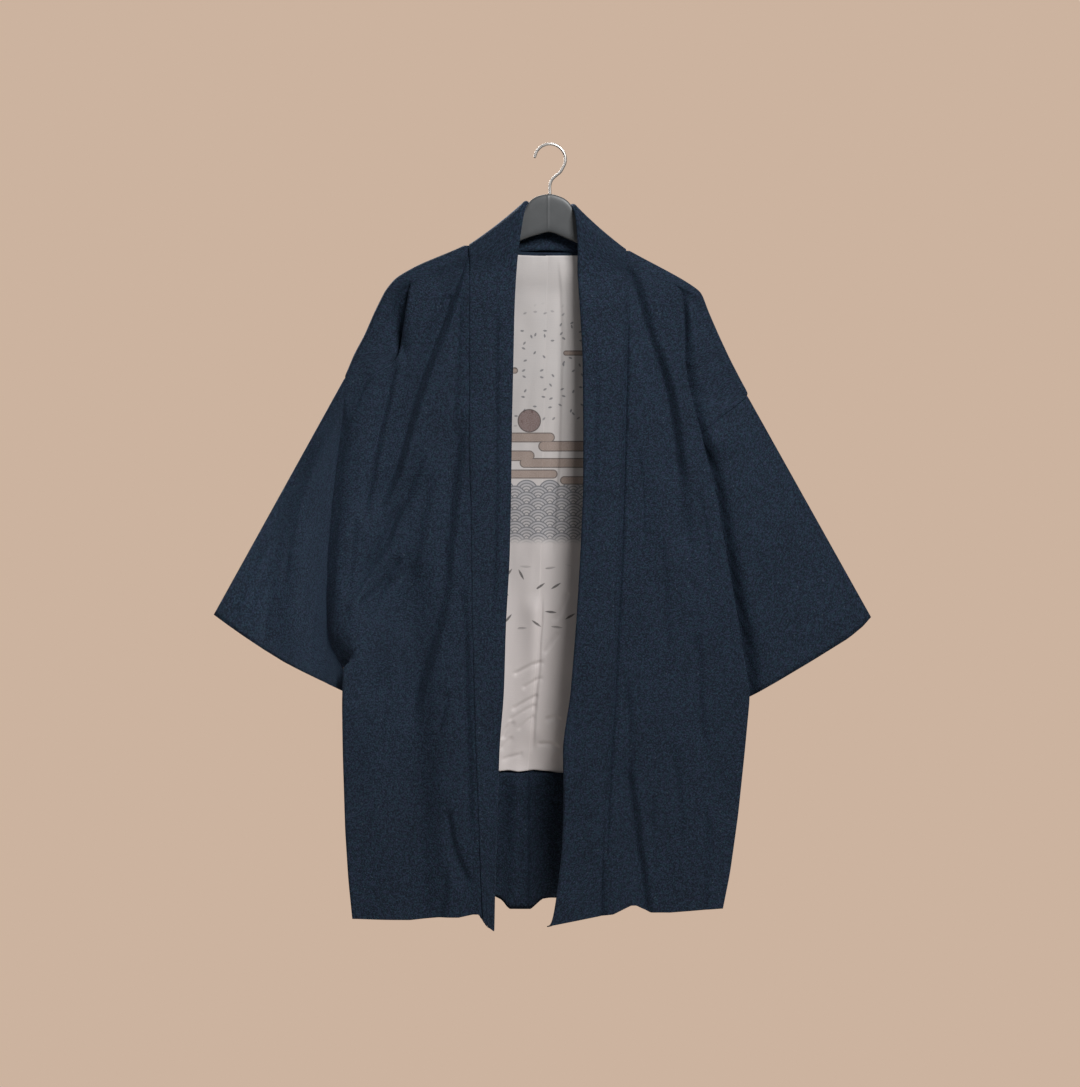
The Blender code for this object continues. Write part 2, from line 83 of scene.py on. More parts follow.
FLOOR_Z = -1.45
FLOOR_RADIUS = 1.1
FLOOR_SIDES = 96
FLOOR_COLOUR = (0.62, 0.56, 0.50, 1.0)
FLOOR_ROUGHNESS = 0.7

floor_mesh = bpy.data.meshes.new("floor")
rim = [math.tau * step / FLOOR_SIDES for step in range(FLOOR_SIDES)]
rim = [(FLOOR_RADIUS * math.cos(turn), FLOOR_RADIUS * math.sin(turn), FLOOR_Z) for turn in rim]
floor_mesh.from_pydata(rim, [], [range(FLOOR_SIDES)])
floor = bpy.data.objects.new("floor", floor_mesh)
scene.collection.objects.link(floor)
pale = bpy.data.materials.new("pale_floor")
pale.use_nodes = True
pale_shader = pale.node_tree.nodes["Principled BSDF"]
pale_shader.inputs["Base Color"].default_value = FLOOR_COLOUR
pale_shader.inputs["Roughness"].default_value = FLOOR_ROUGHNESS
floor_mesh.materials.append(pale)

# Places, aims and sizes in metres, the spread in degrees. The narrow last lamp is aimed at the
# wearer's right sleeve.
Lamp = namedtuple("Lamp", "name place aim size watts spread")
LAMPS = (
    Lamp("key", (0.97, -2.2, 1.3), (0.0, 0.0, -0.42), 1.05, 103.0, 180),
    Lamp("fill", (-1.9, -1.8, 0.7), (-0.1, 0.0, -0.5), 1.6, 9.0, 180),
    Lamp("back", (-0.6, 2.4, 0.7), (0.0, 0.0, -0.5), 1.8, 70.0, 180),
    Lamp("sleeve", (0.5, -2.6, 0.5), (-0.43, 0.0, -0.56), 0.3, 0.26, 11),
)
for lamp in LAMPS:
    light = bpy.data.lights.new(lamp.name, "AREA")
    light.shape = "SQUARE"
    light.size = lamp.size
    light.energy = lamp.watts
    light.spread = math.radians(lamp.spread)
    holder = bpy.data.objects.new(lamp.name, light)
    holder.location = lamp.place
    toward = Vector(lamp.aim) - Vector(lamp.place)
    holder.rotation_euler = toward.to_track_quat("-Z", "Y").to_euler()
    holder.visible_camera = False
    scene.collection.objects.link(holder)

# =================================================================================================
# The hanger: one flat arm moulded in dark satin plastic, thinned to its rounded rims, with a faint
# ridge down the middle where the two halves of the mould met.

MM = 0.001


def link(tree, source, target):
    tree.links.new(source, target)


def node(tree, kind, source=None, **settings):
    """A shader node with its settings and its unlinked values; a source feeds its first input."""
    made = tree.nodes.new(kind)
    for key, value in settings.items():
        if key in made.inputs.keys():
            made.inputs[key].default_value = value
        else:
            setattr(made, key, value)
    if source is not None:
        link(tree, source, made.inputs[0])
    return made


def group(name, outputs, vectors=("Vector",), values=()):
    """A node group that reads places and values (name, default) and puts out values."""
    made = bpy.data.node_groups.new(name, "ShaderNodeTree")
    for label in vectors:
        made.interface.new_socket(label, in_out="INPUT", socket_type="NodeSocketVector")
    for label, value in values:
        socket = made.interface.new_socket(label, in_out="INPUT", socket_type="NodeSocketFloat")
        socket.default_value = value
    for label in outputs:
        made.interface.new_socket(label, in_out="OUTPUT", socket_type="NodeSocketFloat")
    return made, made.nodes.new("NodeGroupInput").outputs, made.nodes.new("NodeGroupOutput").inputs


def use(tree, shared, place, **values):
    """A node group placed in a material, with its own values."""
    made = tree.nodes.new("ShaderNodeGroup")
    made.node_tree = shared
    for key, value in values.items():
        made.inputs[key].default_value = value
    link(tree, place, made.inputs["Vector"])
    return made


def maths(tree, operation, *values):
    """A math node; each value is a number or a socket."""
    made = node(tree, "ShaderNodeMath", operation=operation)
    for socket, value in zip(made.inputs, values):
        if isinstance(value, (int, float)):
            socket.default_value = value
        else:
            link(tree, value, socket)
    return made.outputs[0]


def between(tree, share, low, high):
    """A value that runs from low to high as the share runs from 0 to 1."""
    return maths(tree, "MULTIPLY_ADD", share, high - low, low)


def mixed(tree, share, first, second):
    """A colour between two colours; each is a colour or a socket."""
    made = node(tree, "ShaderNodeMix", data_type="RGBA")
    for index, value in ((0, share), (6, first), (7, second)):
        if isinstance(value, tuple):
            made.inputs[index].default_value = (*value, 1.0)
        else:
            link(tree, value, made.inputs[index])
    return made.outputs[2]


def bumped(tree, shader, height, strength, distance):
    """Give a shader the relief of a height; the distance is in metres."""
    bump = node(tree, "ShaderNodeBump", Strength=strength, Distance=distance)
    link(tree, height, bump.inputs["Height"])
    link(tree, bump.outputs[0], shader.inputs["Normal"])


def finish(name, **settings):
    """A Principled material with its plain values: returns it, its tree and its shader."""
    made = bpy.data.materials.new(name)
    made.use_nodes = True
    shader = made.node_tree.nodes["Principled BSDF"]
    for key, value in settings.items():
        shader.inputs[key.replace("_", " ")].default_value = value
    return made, made.node_tree, shader


def mesh_object(name, points, faces, material):
    """A smooth-shaded mesh in the scene, with one material."""
    mesh = bpy.data.meshes.new(name)
    faces = faces.tolist() if isinstance(faces, np.ndarray) else faces
    mesh.from_pydata(np.reshape(points, (-1, 3)).tolist(), [], faces)
    mesh.polygons.foreach_set("use_smooth", [True] * len(mesh.polygons))
    mesh.materials.append(material)
    obj = bpy.data.objects.new(name, mesh)
    scene.collection.objects.link(obj)
    return obj


# The hanger's upper and lower edge at each place along it
Station = namedtuple("Station", "x high low")
HANGER_STATIONS = (
    Station(-187.5, -172, -176), Station(-185, -168, -180), Station(-176, -163, -180),
    Station(-162, -156, -176), Station(-142, -147, -168), Station(-122, -139.5, -159),
    Station(-96, -130, -147.5), Station(-60, -105, -131), Station(-33, -81.5, -118),
    Station(-26, -71, -115.5), Station(-20, -66, -113.5), Station(-13, -63, -111.5),
    Station(-6, -61.6, -109.6), Station(0, -61, -109), Station(6, -62, -110.6),
    Station(12, -64, -113), Station(19, -67.4, -116), Station(25, -73, -118.6),
    Station(33, -87.5, -122), Station(58, -111, -135), Station(90, -134, -151),
    Station(112, -146, -162.5), Station(138, -158, -176), Station(152, -167, -183),
    Station(162, -175, -186), Station(165.5, -179, -183),
)
HANGER_HALF = 6.4
HANGER_RIM = 2.6
HANGER_SQUARE = 0.35     # how square the section is: 1 is an ellipse
HANGER_TAPER = 12.0      # the ends are thinned over this length
HANGER_THINNEST = 0.08   # the least square of an end's share of the thickness
HANGER_STEP = 3.0
HANGER_NECK_STEP = 1.0
HANGER_NECK = 30
HANGER_SIDES = 40
MOULD_RIDGE = 0.35
MOULD_RIDGE_X = -2.5
MOULD_RIDGE_REACH = 1.1
MOULD_RIDGE_FLAT = 0.8   # the ridge stands only on the face, beyond this share of the thickness
PLASTIC = (0.050, 0.053, 0.055)
PLASTIC_WORN = (0.064, 0.066, 0.068)

moulded_skin, skin_in, skin_out = group("moulded_skin", ("Wear", "Height"))
grain = node(moulded_skin, "ShaderNodeTexNoise", skin_in[0], Scale=900.0, Detail=3.0)
scuffs = node(moulded_skin, "ShaderNodeTexNoise", skin_in[0], Scale=60.0, Detail=6.0, Roughness=0.7)
link(moulded_skin, grain.outputs["Fac"], skin_out["Height"])
link(moulded_skin, scuffs.outputs["Fac"], skin_out["Wear"])

plastic, tree, shader = finish("dark_moulding", IOR=1.46)
skin = use(tree, moulded_skin, node(tree, "ShaderNodeTexCoord").outputs["Object"])
link(tree, mixed(tree, skin.outputs["Wear"], PLASTIC, PLASTIC_WORN), shader.inputs["Base Color"])
link(tree, between(tree, skin.outputs["Wear"], 0.33, 0.55), shader.inputs["Roughness"])
bumped(tree, shader, skin.outputs["Height"], 0.15, 0.0002)


def spline(keys, values, at):
    """Values along a smooth curve through the rows of a table (Catmull-Rom, uneven steps)."""
    keys = np.asarray(keys, float)
    values = np.asarray(values, float)
    slopes = np.gradient(values, keys, axis=0)
    index = np.clip(np.searchsorted(keys, at, side="right") - 1, 0, len(keys) - 2)
    step = keys[index + 1] - keys[index]
    t = np.clip((at - keys[index]) / step, 0.0, 1.0)
    if values.ndim > 1:
        t, step = t[:, None], step[:, None]
    return (
        values[index] * (2 * t**3 - 3 * t**2 + 1)
        + slopes[index] * step * (t**3 - 2 * t**2 + t)
        + values[index + 1] * (3 * t**2 - 2 * t**3)
        + slopes[index + 1] * step * (t**3 - t**2)
    )


def tube_faces(rows, columns):
    """Quads round a closed section repeated along a run, and its two end caps."""
    index = np.arange(rows * columns).reshape(rows, columns)
    beside = np.roll(index, -1, axis=1)
    faces = np.stack([index[:-1], index[1:], beside[1:], beside[:-1]], axis=-1)
    return faces.reshape(-1, 4).tolist() + [index[0].tolist(), index[-1][::-1].tolist()]


stations = np.array(HANGER_STATIONS, float)
hanger_start, hanger_end = stations[0, 0], stations[-1, 0]
hanger_x = np.arange(hanger_start, hanger_end, HANGER_STEP)
neck_x = np.arange(-HANGER_NECK, HANGER_NECK, HANGER_NECK_STEP)
hanger_x = np.unique(np.concatenate([hanger_x, [hanger_end], neck_x]))
edges = spline(stations[:, 0], stations[:, 1:], hanger_x)
rows = []
for x, (high, low) in zip(hanger_x, edges):
    half = (high - low) / 2
    whole = min(1.0, (x - hanger_start + 1) / HANGER_TAPER, (hanger_end + 1 - x) / HANGER_TAPER)
    thick = HANGER_HALF * math.sqrt(max(HANGER_THINNEST, 1 - (1 - whole) ** 2))
    ridge = MOULD_RIDGE * math.exp(-((x - MOULD_RIDGE_X) / MOULD_RIDGE_REACH) ** 2)
    for turn in np.arange(HANGER_SIDES) * math.tau / HANGER_SIDES:
        across, up = math.cos(turn), math.sin(turn)
        # a flat face with rounded rims: a squared circle whose corners take the rim's radius
        y = math.copysign(abs(across) ** HANGER_SQUARE, across) * thick
        z = math.copysign(abs(up) ** (HANGER_SQUARE if half > HANGER_RIM else 1.0), up) * half
        y += math.copysign(ridge, y) if abs(y) > thick * MOULD_RIDGE_FLAT else 0.0
        rows.append((x, y, (high + low) / 2 + z))
faces = tube_faces(len(hanger_x), HANGER_SIDES)
hanger = mesh_object("hanger_fine", np.array(rows) * MM, faces, plastic)
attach(hanger, "root")
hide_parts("hanger")

# =================================================================================================
# The hook: one length of bright steel wire, pushed into the top of the hanger and bent over in a
# round bend with a smooth cut end.

HOOK_WIRE = 3.5
HOOK_RADIUS = 19.4
HOOK_STEM = ((0.0, -66.0), (0.0, -58.0), (0.0, -50.0), (2.2, -43.5), (7.5, -38.0), (12.8, -33.6))
HOOK_START = -36.0       # degrees round the bend, from +X
HOOK_END = 176.135
HOOK_POINTS = 9
HOOK_STEP = 0.8
HOOK_TIP_RINGS = 4       # the cut end is rounded over these
HOOK_TIP_LEAST = 0.02    # the least square of a ring's share of the wire
HOOK_SIDES = 16
STEEL = (0.74, 0.70, 0.66, 1.0)

drawn_wire, wire_in, wire_out = group("drawn_wire", ("Roughness", "Height"))
drawn = node(drawn_wire, "ShaderNodeTexNoise", wire_in[0], Scale=120.0, Detail=3.0).outputs["Fac"]
link(drawn_wire, between(drawn_wire, drawn, 0.30, 0.38), wire_out["Roughness"])
link(drawn_wire, drawn, wire_out["Height"])

steel, tree, shader = finish("hook_steel", Metallic=1.0, Base_Color=STEEL)
marks = use(tree, drawn_wire, node(tree, "ShaderNodeTexCoord").outputs["Object"])
link(tree, marks.outputs["Roughness"], shader.inputs["Roughness"])
bumped(tree, shader, marks.outputs["Height"], 0.03, 0.0001)

# the seat, inside the top of the bend, is at z = 0
centre_z = HOOK_WIRE / 2 - HOOK_RADIUS
bend = np.radians(np.linspace(HOOK_START, HOOK_END, HOOK_POINTS))
bend = np.stack([HOOK_RADIUS * np.cos(bend), centre_z + HOOK_RADIUS * np.sin(bend)], axis=1)
route = np.concatenate([np.array(HOOK_STEM), bend])
lengths = np.concatenate([[0], np.cumsum(np.hypot(*np.diff(route, axis=0).T))])
run = spline(lengths, route, np.arange(0, lengths[-1], HOOK_STEP))
# the cut end is rounded off over the wire's radius
to_end = HOOK_STEP * np.arange(len(run))[::-1]
slim = np.sqrt(np.clip(1 - (1 - to_end / (HOOK_WIRE / 2)) ** 2, HOOK_TIP_LEAST, 1))
slim[:-HOOK_TIP_RINGS] = 1.0
ahead = np.gradient(run, axis=0)
ahead /= np.hypot(ahead[:, 0], ahead[:, 1])[:, None]
rows = []
for (x, z), (dx, dz), size in zip(run, ahead, slim):
    for turn in np.arange(HOOK_SIDES) * math.tau / HOOK_SIDES:
        reach = HOOK_WIRE / 2 * size
        side_step = math.cos(turn) * reach
        rows.append((x + dz * side_step, math.sin(turn) * reach, z - dx * side_step))
hook = mesh_object("hook_fine", np.array(rows) * MM, tube_faces(len(run), HOOK_SIDES), steel)
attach(hook, "root")
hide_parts("hanger_hook")

# =================================================================================================
# The body: two lengths of heavy navy crepe, each one piece from the front hem over the shoulder to
# the back hem, sewn together down the centre back. The cloth past the hanger's end drops into a
# pleat behind the front's edge. The crepe's overtwisted weft stands in small uneven pebbles.

NAVY_DARK = (0.0031, 0.0056, 0.0110)
NAVY_VIOLET = (0.0255, 0.0365, 0.0700)
NAVY_TEAL = (0.0192, 0.0420, 0.0650)
PALE_FIBRE = (0.0500, 0.0700, 0.0950)
FLECK_LEVEL = 0.9985     # about one pebble in 670 has a pale fibre
SHEEN_BLUE = (0.45, 0.62, 0.95, 1.0)


def flat_noise(tree, place, scale, detail, roughness=0.5):
    """Noise over cloth laid flat."""
    settings = {"Scale": scale, "Detail": detail, "Roughness": roughness}
    made = node(tree, "ShaderNodeTexNoise", place, noise_dimensions="2D", **settings)
    return made.outputs["Fac"]


crepe_pebble, crepe_in, crepe_out = group("crepe_pebble", ("Tone", "Hue", "Fleck", "Height"))
tree = crepe_pebble
pebbles = node(tree, "ShaderNodeTexVoronoi", crepe_in[0], voronoi_dimensions="2D", Scale=620.0)
twist = flat_noise(tree, crepe_in[0], 520.0, 2.0, 0.7)
broad = flat_noise(tree, crepe_in[0], 14.0, 4.0, 0.6)
shade = flat_noise(tree, crepe_in[0], 190.0, 1.0)
chance = node(tree, "ShaderNodeSeparateColor", pebbles.outputs["Color"])
raised = maths(tree, "SUBTRACT", 0.75, pebbles.outputs["Distance"])
tone = between(tree, twist, -0.78, 0.47)
tone = maths(tree, "MULTIPLY_ADD", chance.outputs[0], 0.52, tone)
tone = maths(tree, "MAXIMUM", maths(tree, "MULTIPLY_ADD", raised, 0.42, tone), 0.0)
tone = maths(tree, "MULTIPLY_ADD", broad, 0.16, tone)
relief = maths(tree, "MULTIPLY_ADD", twist, 0.6, maths(tree, "MULTIPLY", raised, chance.outputs[0]))
link(tree, tone, crepe_out["Tone"])
link(tree, between(tree, shade, -1.0, 2.0), crepe_out["Hue"])
link(tree, maths(tree, "GREATER_THAN", chance.outputs[1], FLECK_LEVEL), crepe_out["Fleck"])
link(tree, relief, crepe_out["Height"])


def crepe(name):
    """A navy crepe: tone from the pebbles, slow changes of hue, a few pale fibres, and the relief."""
    settings = {"Roughness": 0.85, "Specular_IOR_Level": 0.15, "Sheen_Weight": 0.2}
    made, tree, shader = finish(name, Sheen_Roughness=0.3, Sheen_Tint=SHEEN_BLUE, **settings)
    face = use(tree, crepe_pebble, node(tree, "ShaderNodeUVMap", uv_map="cut").outputs["UV"])
    light = mixed(tree, face.outputs["Hue"], NAVY_VIOLET, NAVY_TEAL)
    colour = mixed(tree, face.outputs["Tone"], NAVY_DARK, light)
    fibre = maths(tree, "MULTIPLY", face.outputs["Fleck"], 0.5)
    link(tree, mixed(tree, fibre, colour, PALE_FIBRE), shader.inputs["Base Color"])
    bumped(tree, shader, face.outputs["Height"], 0.4, 0.0007)
    return made


navy = crepe("navy_crepe")

CLOTH = 1.4
LAYER = 4.4              # across a fold, from the middle of one layer to the next
HEM_Z = -955.0
HEM_EASE_Z = -800.0      # below this the levels bend toward the hem's waves
BACK_SHARE = 0.84        # how much the back stands out beside the front
SHOULDER_ROUND = 10.4    # half the thickness of the cloth's fold over the shoulder
ARM_BULGE = 9.0          # how far the front stands out more beside the armhole
BACK_BULGE = BACK_SHARE**6
SEAM_GAP = 0.02
NECK_CENTRE_Z = -134.0
NECK_EASE_Z = -175.0     # above this the levels bend toward the dip of the back neck

# One row for each level of a side: the collar seam, the front's folded edge, the tuck behind it, the
# outline, how far forward the front and the tuck lie, and how much of the pleat is formed.
Level = namedtuple("Level", "z seam edge tuck outer front tuck_depth pleat")
RIGHT_LEVELS = (
    Level(-126.4, -96.5, -176, -170, -107, 10.4, 10.4, 0),
    Level(-133.6, -96.5, -176, -170, -124, 10.4, 10.4, 0),
    Level(-149.8, -96.5, -176, -170, -164, 10.6, 10.4, 0),
    Level(-166, -96.5, -176, -171, -193, 12.5, 10.0, 0),
    Level(-182, -96.5, -176, -170, -206, 17.5, 7.0, 1),
    Level(-208, -96.5, -180, -170, -219, 20, 4.6, 1),
    Level(-238, -96.5, -184.5, -173, -232, 22, 4.4, 1),
    Level(-262, -96.5, -188, -178, -245, 23.2, 10, 1),
    Level(-291, -96.5, -194, -186, -257, 24.6, 19, 0.35),
    Level(-330, -96.5, -201, -194, -259, 27, 20, 0),
    Level(-370, -96.5, -211, -204, -264, 29.5, 15, 0),
    Level(-445, -94.5, -224, -216, -273, 34, 15, 0),
    Level(-520, -93.5, -240, -232, -280, 38, 16, 0),
    Level(-595, -92.5, -256, -248, -279, 41, 18.5, 0),
    Level(-618, -91.5, -258, -250, -277, 41.7, 20, 0),
    Level(-638, -91.0, -258, -249, -270, 42.4, 20, 0.2),
    Level(-648, -90.7, -258, -248, -265, 42.7, 20, 0.8),
    Level(-655, -90.5, -258, -248, -261.5, 42.9, 20, 1),
    Level(-700, -89.5, -259, -238, -238, 44.3, 22, 1),
    Level(-762, -87.5, -258, -236, -236, 46, 25, 1),
    Level(-852, -83.5, -255, -235, -235, 48, 28, 1),
    Level(-910, -81.5, -251, -236, -236, 49, 29, 1),
    Level(-955, -78.5, -246, -236, -236, 50, 30, 1),
)
LEFT_LEVELS = (
    Level(-133, 90.5, 163, 157, 100, 10.4, 10.4, 0),
    Level(-139.6, 90.5, 163, 157, 112, 10.4, 10.4, 0),
    Level(-153.2, 90.5, 163, 157, 138, 10.6, 10.4, 0),
    Level(-168.4, 89.5, 163, 158, 166, 12.5, 10.0, 0),
    Level(-183.6, 89.5, 165, 158, 189, 17, 9.0, 1),
    Level(-208, 88.5, 167, 152, 198, 19, 8.0, 1),
    Level(-238, 88.5, 168, 145, 211, 21, 7.5, 1),
    Level(-268, 87.5, 168, 136, 225, 23.5, 8.5, 1),
    Level(-298, 86.5, 172, 127, 240.5, 25, 10, 1),
    Level(-314, 86.5, 176, 123, 249.5, 26, 12, 1),
    Level(-345, 86.5, 184, 114, 209, 28, 15, 1),
    Level(-378, 85.5, 192, 106, 171, 30, 16, 1),
    Level(-412, 84.5, 201, 98, 131, 32, 16, 1),
    Level(-445, 83.5, 208, 91, 99, 34, 15, 1),
    Level(-520, 79.5, 221, 104, 104, 38, 17, 1),
    Level(-595, 75.5, 234, 124, 124, 41, 17, 1),
    Level(-689, 71.5, 249, 156, 156, 44, 22, 1),
    Level(-762, 67.5, 242, 181, 181, 46, 25, 1),
    Level(-838, 63.5, 234, 196, 196, 48, 28, 1),
    Level(-910, 60.5, 224, 203, 203, 49, 29, 1),
    Level(-955, 58.5, 215, 206, 206, 50, 30, 1),
)

# Hem height across the cloth, and the centre back seam, both as (x, z)
HEM_RIGHT = (
    (-246, -967.5), (-200, -969), (-175, -969.5), (-140, -966), (-114, -966), (-96, -962),
    (-89, -962), (-85, -968), (-80, -976), (-72, -982), (-66, -991), (-60, -990),
)
HEM_LEFT = (
    (-6, -977), (8, -977), (16, -976), (38, -970), (54, -965), (79, -962), (93, -955), (101, -951),
    (108, -951), (116, -955), (126, -959.5), (150, -959.5), (215, -954.5),
)
HEM_BACK = (
    (-246, -962), (-170, -956), (-100, -951), (-70, -944), (-60, -949), (-52, -960), (-24, -960),
    (-10, -947.5), (0, -946), (60, -948), (120, -955), (215, -952),
)
CENTRE_SEAM = ((0, -134), (-11, -595), (-25, -780), (-25, -960))
Armhole = namedtuple("Armhole", "top_z foot_z")
ARMHOLE_RIGHT = Armhole(-291, -655)
ARMHOLE_LEFT = Armhole(-314, -445)

# Folds, each a line (x, z) down the cloth. With an edge the cloth sinks slowly over the reach and
# comes forward again across the edge, on the side of larger x (smaller x if negative); without one
# it is a soft trough, or a ridge where the depth is negative.
Fold = namedtuple("Fold", "reach depth edge run")
FOLDS_RIGHT = (
    Fold(12, -1.5, 0.8, ((-101.1, 0), (-101.1, -330), (-100.6, -380), (-99.2, -430), (-98.2, -520),
        (-97.2, -595), (-95.2, -655), (-94.2, -700), (-92.2, -762), (-88.2, -852), (-86.2, -960),
        (-86.2, -1090))),
    Fold(14, 3.2, 8, ((-106, -540), (-103, -620), (-101, -680), (-99.5, -740), (-98, -800),
        (-96, -880))),
    Fold(9, 3.5, 0, ((-252, -320), (-259, -370), (-265, -407), (-269, -445), (-274, -495),
        (-277, -557), (-280, -610), (-282, -690))),
    Fold(24, 13.5, 12.5, ((-99, -84), (-104, -134), (-107, -144), (-112.5, -164), (-120, -195),
        (-129, -226), (-141, -255), (-152.5, -285), (-162.5, -314), (-171, -345), (-179, -376),
        (-190, -414), (-202, -441), (-214, -466), (-224, -486))),
    Fold(18, 5.5, 10, ((-150, -382), (-163, -412), (-177, -446), (-190, -470), (-202, -501),
        (-215, -520), (-225, -535), (-238, -556))),
    Fold(14, 6.5, 9, ((-179, -448), (-190, -470), (-202, -501), (-215, -520), (-225, -535),
        (-240, -560), (-248, -580))),
    Fold(9, 6.6, 6.5, ((-184, -516), (-190, -528), (-207.5, -552), (-225, -572), (-238, -589))),
    Fold(9, 5.2, 6.5, ((-194, -540), (-202, -552), (-215, -575), (-230, -602))),
    Fold(44, 8.0, 34, ((-152, -400), (-166, -470), (-186, -560), (-206, -650), (-214, -720))),
    Fold(5, 1.6, 3.8, ((-196, -520), (-214, -540), (-228, -556))),
    Fold(11, 8.5, -7, ((-200, -168), (-199, -182), (-196, -205), (-192, -232), (-188, -258),
        (-187, -272))),
    Fold(13, 7.2, 9, ((-187, -258), (-193, -286), (-197, -304), (-201, -326), (-207, -352),
        (-213, -384), (-216, -402), (-222, -430), (-227, -452), (-232, -478))),
    Fold(9, 3.1, 7.5, ((-238, -455), (-244, -515), (-250, -575), (-252, -606))),
    Fold(10, 3.1, 6.2, ((-226, -228), (-230, -257), (-238, -286), (-244, -306))),
    Fold(6, 2.3, 3.8, ((-228, -282), (-240, -300), (-249, -322))),
    Fold(6, 2.1, 3.8, ((-220, -286), (-235, -314), (-244, -338))),
    Fold(8, 1.6, 7, ((-108, -176), (-111, -232), (-114, -282), (-116, -332), (-119, -374))),
    Fold(22, 8.8, 15, ((-104, -330), (-109, -370), (-114, -407), (-117, -439), (-120, -470),
        (-124, -506), (-124, -540), (-129, -570), (-136, -607), (-147, -639), (-156, -670),
        (-163, -697), (-171, -738))),
    Fold(16, 4.4, 13, ((-140, -405), (-146, -430), (-154, -470), (-163, -520), (-170, -560))),
    Fold(58, 13, 40, ((-156, -500), (-152, -610), (-151, -700), (-149, -790), (-146, -850),
        (-140, -930), (-138, -1030))),
    Fold(10, 6.0, 9, ((-124, -826), (-122, -846), (-118, -868), (-112, -886), (-104, -902),
        (-96, -922))),
    Fold(8, 4.0, 7, ((-124, -684), (-127, -696), (-130, -710), (-136, -734))),
    Fold(10, 3.4, 8.8, ((-124, -898), (-129, -932), (-134, -962), (-136, -1000))),
    Fold(5, 1.6, 0, ((-258, -692), (-240, -696), (-228, -691), (-212, -678))),
    Fold(26, -2.6, 0, ((-216, -650), (-214, -780), (-206, -900), (-204, -1030))),
    Fold(8, 1.8, 6.2, ((-196, -660), (-206, -700), (-208, -760))),
    Fold(9, 1.7, 7.5, ((-170, -780), (-176, -840), (-172, -910))),
)
FOLDS_LEFT = (
    Fold(34, -10, -7, ((171, -178), (173, -208), (174.5, -245), (174.5, -272), (179, -299),
        (187, -332), (196, -370), (205, -404))),
    Fold(3, 3.4, 0, ((98.5, -158), (98, -190), (97, -250), (95, -330), (93, -412), (89.5, -520),
        (85, -600), (81, -690), (76, -770), (72, -850), (68, -930))),
    Fold(24, 8.2, 14, ((97, -136), (101, -150), (109, -170), (119, -201), (127, -232), (137, -260),
        (146, -286), (152, -310), (158, -340), (162, -372), (166, -407), (170, -440))),
    Fold(24, 4.2, 18, ((132, -250), (146, -284), (153, -312), (158, -340), (162, -370), (166, -407),
        (171, -445), (177, -482), (186, -520))),
    Fold(8, 2.3, 5, ((192, -184), (190, -220), (186, -246), (178, -268))),
    Fold(17, 8.5, 12, ((99, -760), (102, -789), (105, -808), (109, -839), (113, -876), (119, -908),
        (123, -939), (126, -962), (128, -1010))),
    Fold(8, 2.6, 6.2, ((132, -812), (131, -830), (129, -858))),
    Fold(10, 4.2, 8.5, ((68, -800), (66, -839), (65, -882), (68, -932), (68, -1000))),
    Fold(11, 2.5, 8.8, ((141, -490), (146, -539), (148, -570), (150, -632))),
    Fold(13, 3.4, 10, ((184, -606), (189, -651), (190, -695), (197, -760))),
    Fold(13, 2.9, 11.2, ((155, -740), (162, -795), (167, -835), (165, -880))),
    Fold(12, 2.9, 10, ((98, -672), (103, -732), (105, -784))),
    Fold(20, -2.2, 0, ((128, -360), (138, -450), (142, -560))),
    Fold(14, 2.6, 10, ((196, -820), (200, -870), (196, -930), (194, -1000))),
    Fold(6, 1.6, 5, ((186, -430), (196, -470), (202, -520))),
    Fold(5, 1.3, 3.8, ((112, -380), (118, -430), (120, -500))),
)
FOLDS_BACK = (
    Fold(34, 8.0, 0, ((-42, -770), (-43, -860), (-44, -1080))),
    Fold(20, 6.9, 10.3, ((-98, -122), (-112, -170), (-130, -230), (-150, -290), (-172, -350),
        (-196, -420))),
    Fold(18, 6.3, -10.3, ((92, -122), (106, -170), (124, -230), (142, -300), (160, -370),
        (176, -430))),
    Fold(50, 9.2, 39.1, ((-96, -540), (-104, -660), (-98, -780), (-112, -900), (-116, -1030))),
    Fold(44, 8, -34.5, ((84, -540), (88, -700), (100, -820), (98, -1030))),
    Fold(22, -3.4, 0, ((-54, -420), (-46, -600), (-58, -800), (-50, -1030))),
    Fold(24, -3.2, 0, ((40, -380), (50, -560), (36, -760), (46, -1030))),
    Fold(15, 4, 9.2, ((-190, -500), (-200, -640), (-190, -760), (-196, -900))),
    Fold(15, 3.7, -9.2, ((166, -540), (160, -700), (170, -860))),
    Fold(9, 3, 5.8, ((-200, -320), (-214, -400), (-232, -470), (-248, -540))),
    Fold(9, 2.8, -5.8, ((150, -340), (172, -430), (188, -520))),
    Fold(7, 2.1, 4.6, ((-64, -290), (-78, -380), (-96, -470))),
    Fold(7, 1.8, -4.6, ((56, -280), (70, -370), (84, -450))),
)

PANEL, BACK_PANEL, TURN, RETURN, UNDER, OVER = 84, 52, 8, 10, 14, 11
TUCK_COLUMNS = TURN + RETURN + TURN // 2   # from the panel's edge to the middle of the tuck
PLEAT_SHARE = 0.72
SEAM_CROWD = 1.15      # columns stand closer together at the inner seam and at the armhole
END_CROWD = 1.8
SEAM_GROOVE = 1.0      # how far a seam's edges are drawn in, and over what distance
SEAM_REACH = 2.2
HANGER_CLEAR_Z = -190.0
HANGER_CLEAR = 7.8     # the cloth lies on the hanger above that level
RIDGE_CLEAR = 10.6     # no folds so near the top fold, and full ones this much further in
RIDGE_EASE = 15.0
ROUND_SHARE = 0.8      # of the way from the collar seam that the shoulder's round may take
ROUND_EASE = 24.0      # the round starts over this height above the armhole
TUCK_EASE = 30.0       # the back's tuck is half as deep from this height above the armhole
ARM_EASE = 60.0        # the columns crowd at the outline from this height above the armhole
